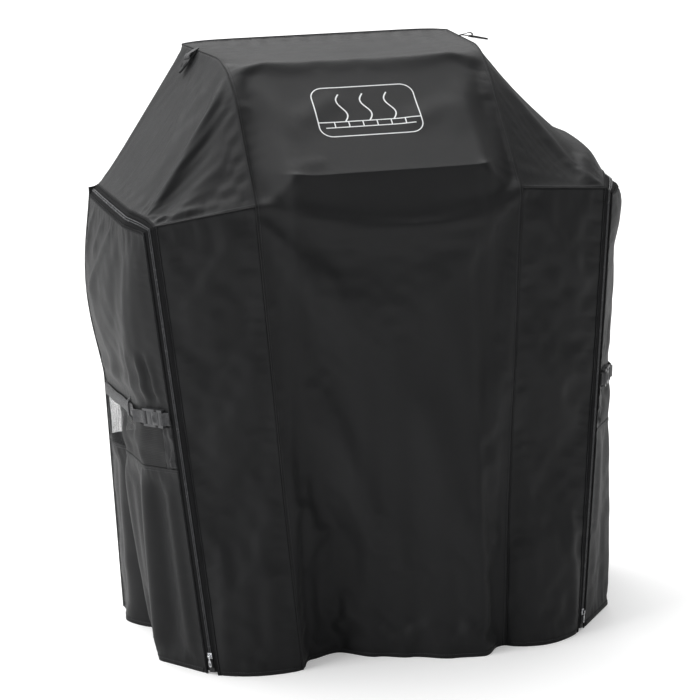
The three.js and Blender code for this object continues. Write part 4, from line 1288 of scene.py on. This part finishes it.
def add_buckle_details(label, at):
    """A crowned face with grip ribs on the socket, very dark pads beside it that paint the shade in its
    release notches, and the plug's face.
    """
    body = label + "_flap"
    pad(label + "_buckle_face", at, -20.5, -3.2, 13.2, 9.2, 10.9, body, BUCKLE)
    for k, a in enumerate((-16.5, -13.2, -9.9, -6.6)):
        half = 8.5 - 1.1 * abs(k - 1.5)
        pad(f"{label}_grip_rib_{k}", at, a, a + 1.5, half, 10.9, 11.8, body, BUCKLE, edge=0.4)
    # very dark pads: painted shade in the release notches beside the socket's face
    for k, up in enumerate((-1, 1)):
        pad(f"{label}_release_notch_shade_{k}", at, -17.0, -9.0, 2.4, 9.3, 9.9, body, PAINTED_SHADE, 0.5, up * 15.2)
    pad(label + "_plug_face", at, 2.2, 14.2, 13.2, 8.7, 9.9, label + "_buckle_plug", BUCKLE, edge=1.2)


def add_tab(label, side):
    """The hanging tab: webbing sewn into the lid seam and looped round the clip's bar."""
    q = LID_FRONT_Q + LID_RUN * ((TAB_Y - LID_FRONT[1]) / (LID_REAR[1] - LID_FRONT[1]))
    seam = shoulder_point(side, q, 0.0)
    x = unit(shoulder_point(side, q, 0.2) - seam)
    y = square_to(unit(shoulder_point(side, q + 0.05, 0.1) - shoulder_point(side, q - 0.05, 0.1)), x)
    z = np.cross(x, y)
    z = z if z[2] > 0 else -z
    turn = math.radians(side["lift"])
    hinge = seam + z * TAB_HINGE
    x, z = x * math.cos(turn) + z * math.sin(turn), z * math.cos(turn) - x * math.sin(turn)
    tab = [hinge + x * a + z * (b - TAB_HINGE) for a, b in TAB]
    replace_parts(webbing(label + "_tab_loop", tab, y, 24.4, 1.5, label + "_tab"), label + "_tab_webbing")
    bends[label + "_tab"] = in_metres(seam, hinge + x * TAB_BEND)


for label, side in SIDES.items():
    origin, x, y, z, reach = buckle_frame(side)
    at = local(origin, x, y, z)
    add_strap(label, side, at, reach, y)
    box_stitch(label + "_flap", at, z, -47, -40, 10.5, 5.7)
    add_belt_loop(label, side)
    add_buckle_details(label, at)
    add_tab(label, side)

for body, parts in thread.items():
    count = sum(map(len, parts)) // len(STITCH)
    faces = [tuple(k * len(STITCH) + i for i in f) for k in range(count) for f in STITCH_FACES]
    add_piece(body + "_stitching", np.concatenate(parts), faces, THREAD, body, None)

# ---- CAD nodes that stay: rounded edges and finished materials ----
FITTINGS = {
    "buckle_socket": (0.7, BUCKLE), "buckle_plug": (0.7, BUCKLE), "latch_arm_upper": (0.35, BUCKLE),
    "latch_arm_lower": (0.35, BUCKLE), "tab_clip": (0.8, PLASTIC), "zip_box": (0.5, PLASTIC),
    "zip_pin": (0.5, PLASTIC), "zip_slider": (0.25, NICKEL), "zip_pull": (0.22, NICKEL),
}
for label in SIDES:
    for part, (width, material) in FITTINGS.items():
        node = nodes[f"{label}_{part}"]
        for material_slot in node.material_slots:
            material_slot.material = material
        bevel = node.modifiers.new("edges", "BEVEL")
        bevel.width = width / 1000
        bevel.segments = 2
        bevel.limit_method = "ANGLE"
        bevel.angle_limit = math.radians(35)

# ---- printed pictogram: heat over a grate, in a rounded frame ----
EMBLEM = dict(x=-11, z=1068, width=206, height=128, radius=26, stroke=2.4)


def emblem_strokes():
    w, h, r, s = (EMBLEM[key] for key in ("width", "height", "radius", "stroke"))
    bend = r - s / 2
    ring = []
    for k, (sx, sy) in enumerate([(1, 1), (-1, 1), (-1, -1), (1, -1)]):
        for t in np.linspace(0, 1, 13):
            a = (k + t) * math.pi / 2
            ring.append((sx * (w / 2 - r) + bend * math.cos(a), sy * (h / 2 - r) + bend * math.sin(a)))
    grate = [[(-w / 2 + 1, -25.8), (w / 2 - 1, -25.8)], [(-w / 2 + 14, -39.8), (w / 2 - 14, -39.8)]]
    grate += [[(x, -40), (x, -26)] for x in (-70, -42, -14, 14, 42, 70)]
    wave = [(8 * math.sin(2 * math.pi * t), -26 + 70 * t) for t in np.linspace(0, 1, 29)]
    heat = [[(x + a, b) for a, b in wave] for x in (-48, 0, 48)]
    return [(line, s) for line in [ring + ring[:1]] + grate] + [(line, s * 1.2) for line in heat]


def add_emblem():
    """The strokes laid on the lid's slope, just above the cloth."""
    slope = math.atan2(LID_TOP - CREASE_Z, LID_FRONT[1] - CREASE_Y)
    y0 = LID_FRONT[1] - (LID_TOP - EMBLEM["z"]) / math.tan(slope)
    up = np.array([0, math.cos(slope), math.sin(slope)])
    out = np.array([0, -math.sin(slope), math.cos(slope)])
    p = front["p"]
    tree = BVHTree.FromPolygons(p.reshape(-1, 3).tolist(), grid_faces(*p.shape[:2]))
    at = local(np.array([EMBLEM["x"], y0, EMBLEM["z"]]), np.array([1, 0, 0]), up, out)

    def lay(a, b):
        hit, normal, _, _ = tree.ray_cast(Vector(at(a, b, 60).tolist()), Vector((-out).tolist()))
        normal = normal if np.dot(normal, out) > 0 else -normal
        return np.array(hit + normal * 0.35)

    points, faces, uvs = [], [], []
    for line, width in emblem_strokes():
        line = resample(2.5, np.array(line, float))[0]
        t = unit(np.gradient(line, axis=0))
        sideways = np.stack([-t[:, 1], t[:, 0]], -1) * width / 2
        base = len(points)
        for k in range(len(line)):
            for d in (-1, 0, 1):
                a, b = line[k] + sideways[k] * d
                points.append(lay(a, b))
                uvs.append((a / 1000, b / 1000))
            if k:
                i = base + 3 * k
                faces += [(i - 3, i - 2, i + 1, i), (i - 2, i - 1, i + 2, i + 1)]
    pts = np.array(points)
    facing = []
    for f in faces:
        n = np.cross(pts[f[1]] - pts[f[0]], pts[f[2]] - pts[f[0]])
        facing.append(f if np.dot(n, out) > 0 else f[::-1])
    piece = add_piece("pictogram_print", pts, facing, PRINT, "cover", uvs)
    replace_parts(piece, "printed_emblem")


add_emblem()


# ---- what each sheet was cut to ----
def cut_size(p):
    """The greatest width and length of a flat panel, and its area, in metres."""
    a, b, c, d = p[:-1, :-1], p[1:, :-1], p[1:, 1:], p[:-1, 1:]
    halves = (np.linalg.norm(np.cross(u, v), axis=-1) for u, v in ((b - a, c - a), (c - a, d - a)))
    area = float(sum(halves).sum() / 2) / 1e6
    return arc(p, 1)[:, -1].max() / 1000, arc(p, 0)[-1].max() / 1000, area


for name, panel in panels.items():
    w, length, area = cut_size(panel["cut"])
    pieces = list(bindings.get(name, []))
    if name == "front_top_panel":
        pieces.append(seam_welts)
    if "window" in panel:
        first, last, col = panel["window"]
        vent_w, vent_length, vent_area = cut_size(panel["cut"][first:last + 1, :col + 1])
        area -= vent_area

# ---- floor, light and camera ----
floor_mesh = bpy.data.meshes.new("floor")
floor_mesh.from_pydata([(-30, -30, 0), (30, -30, 0), (30, 30, 0), (-30, 30, 0)], [], [(0, 1, 2, 3)])
floor = new_object("floor", floor_mesh)
pale, g = new_material("floor", (0.9, 0.9, 0.9), 0.9, Emission_Color=(1, 1, 1, 1), Emission_Strength=0.25)
dim = g.add("ShaderNodeBsdfDiffuse", Color=(0.74, 0.74, 0.74, 1))
g.shader_where(g.add("ShaderNodeLightPath").outputs["Is Camera Ray"], dim)
floor_mesh.materials.append(pale)


def add_light(name, kind, way, power, **size):
    """A light that shines along the way."""
    data = bpy.data.lights.new(name, kind)
    data.energy = power
    for key, value in size.items():
        setattr(data, key, value)
    lamp = new_object(name, data)
    lamp.rotation_euler = Vector(way).to_track_quat("-Z", "Y").to_euler()
    return lamp


add_light("top_light", "SUN", (0.10, -0.47, -0.87), 3.4, angle=math.radians(75))
left_place = Vector((-4.0, -1.0, 2.4))
add_light("left_light", "AREA", Vector((0, 0, 0.6)) - left_place, 90, size=2.2).location = left_place

world = bpy.data.worlds.new("studio")
world.use_nodes = True
bpy.context.scene.world = world
g = Graph(world.node_tree, world.node_tree.nodes["Background"])
g.shader.inputs["Color"].default_value = (1, 1, 1, 1)
g.wire("Strength", g.span(g.add("ShaderNodeLightPath").outputs["Is Camera Ray"], 0.30, 1.05))

camera = new_object("camera", bpy.data.cameras.new("camera"))
camera.data.sensor_width = 36
camera.data.lens = 125.26
camera.data.shift_x, camera.data.shift_y = -0.0093, -0.0029
camera.data.clip_end = 100
eye, look, roll = Vector((-1.2718, -4.5643, 1.7594)), Vector((-0.0187, 0.0479, 0.55)), math.radians(-1.2)
back = (eye - look).normalized()
right = Vector((0, 0, 1)).cross(back).normalized()
x_axis = right * math.cos(roll) + back.cross(right) * math.sin(roll)
y_axis = back.cross(x_axis)
camera.matrix_world = Matrix([(x_axis[k], y_axis[k], back[k], eye[k]) for k in range(3)] + [(0, 0, 0, 1)])
bpy.context.scene.camera = camera
bpy.context.scene.view_settings.view_transform = "Standard"

# ---- what moves with what: where the cloth on a flap bends from the cover at the hinge seam ----
for label, side in SIDES.items():
    top, hem = (on_side(side, p) for p in side["hinge"])
    start = (top + hem) / 2
    ahead = square_to(np.array([0, -1.0, 0]), unit(hem - top)) * HINGE_CLOTH
    bends[label + "_flap"] = in_metres(start, start + ahead)
for piece, body in riders:
    if body in bends:
        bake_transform(piece)
    else:
        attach(piece, body)
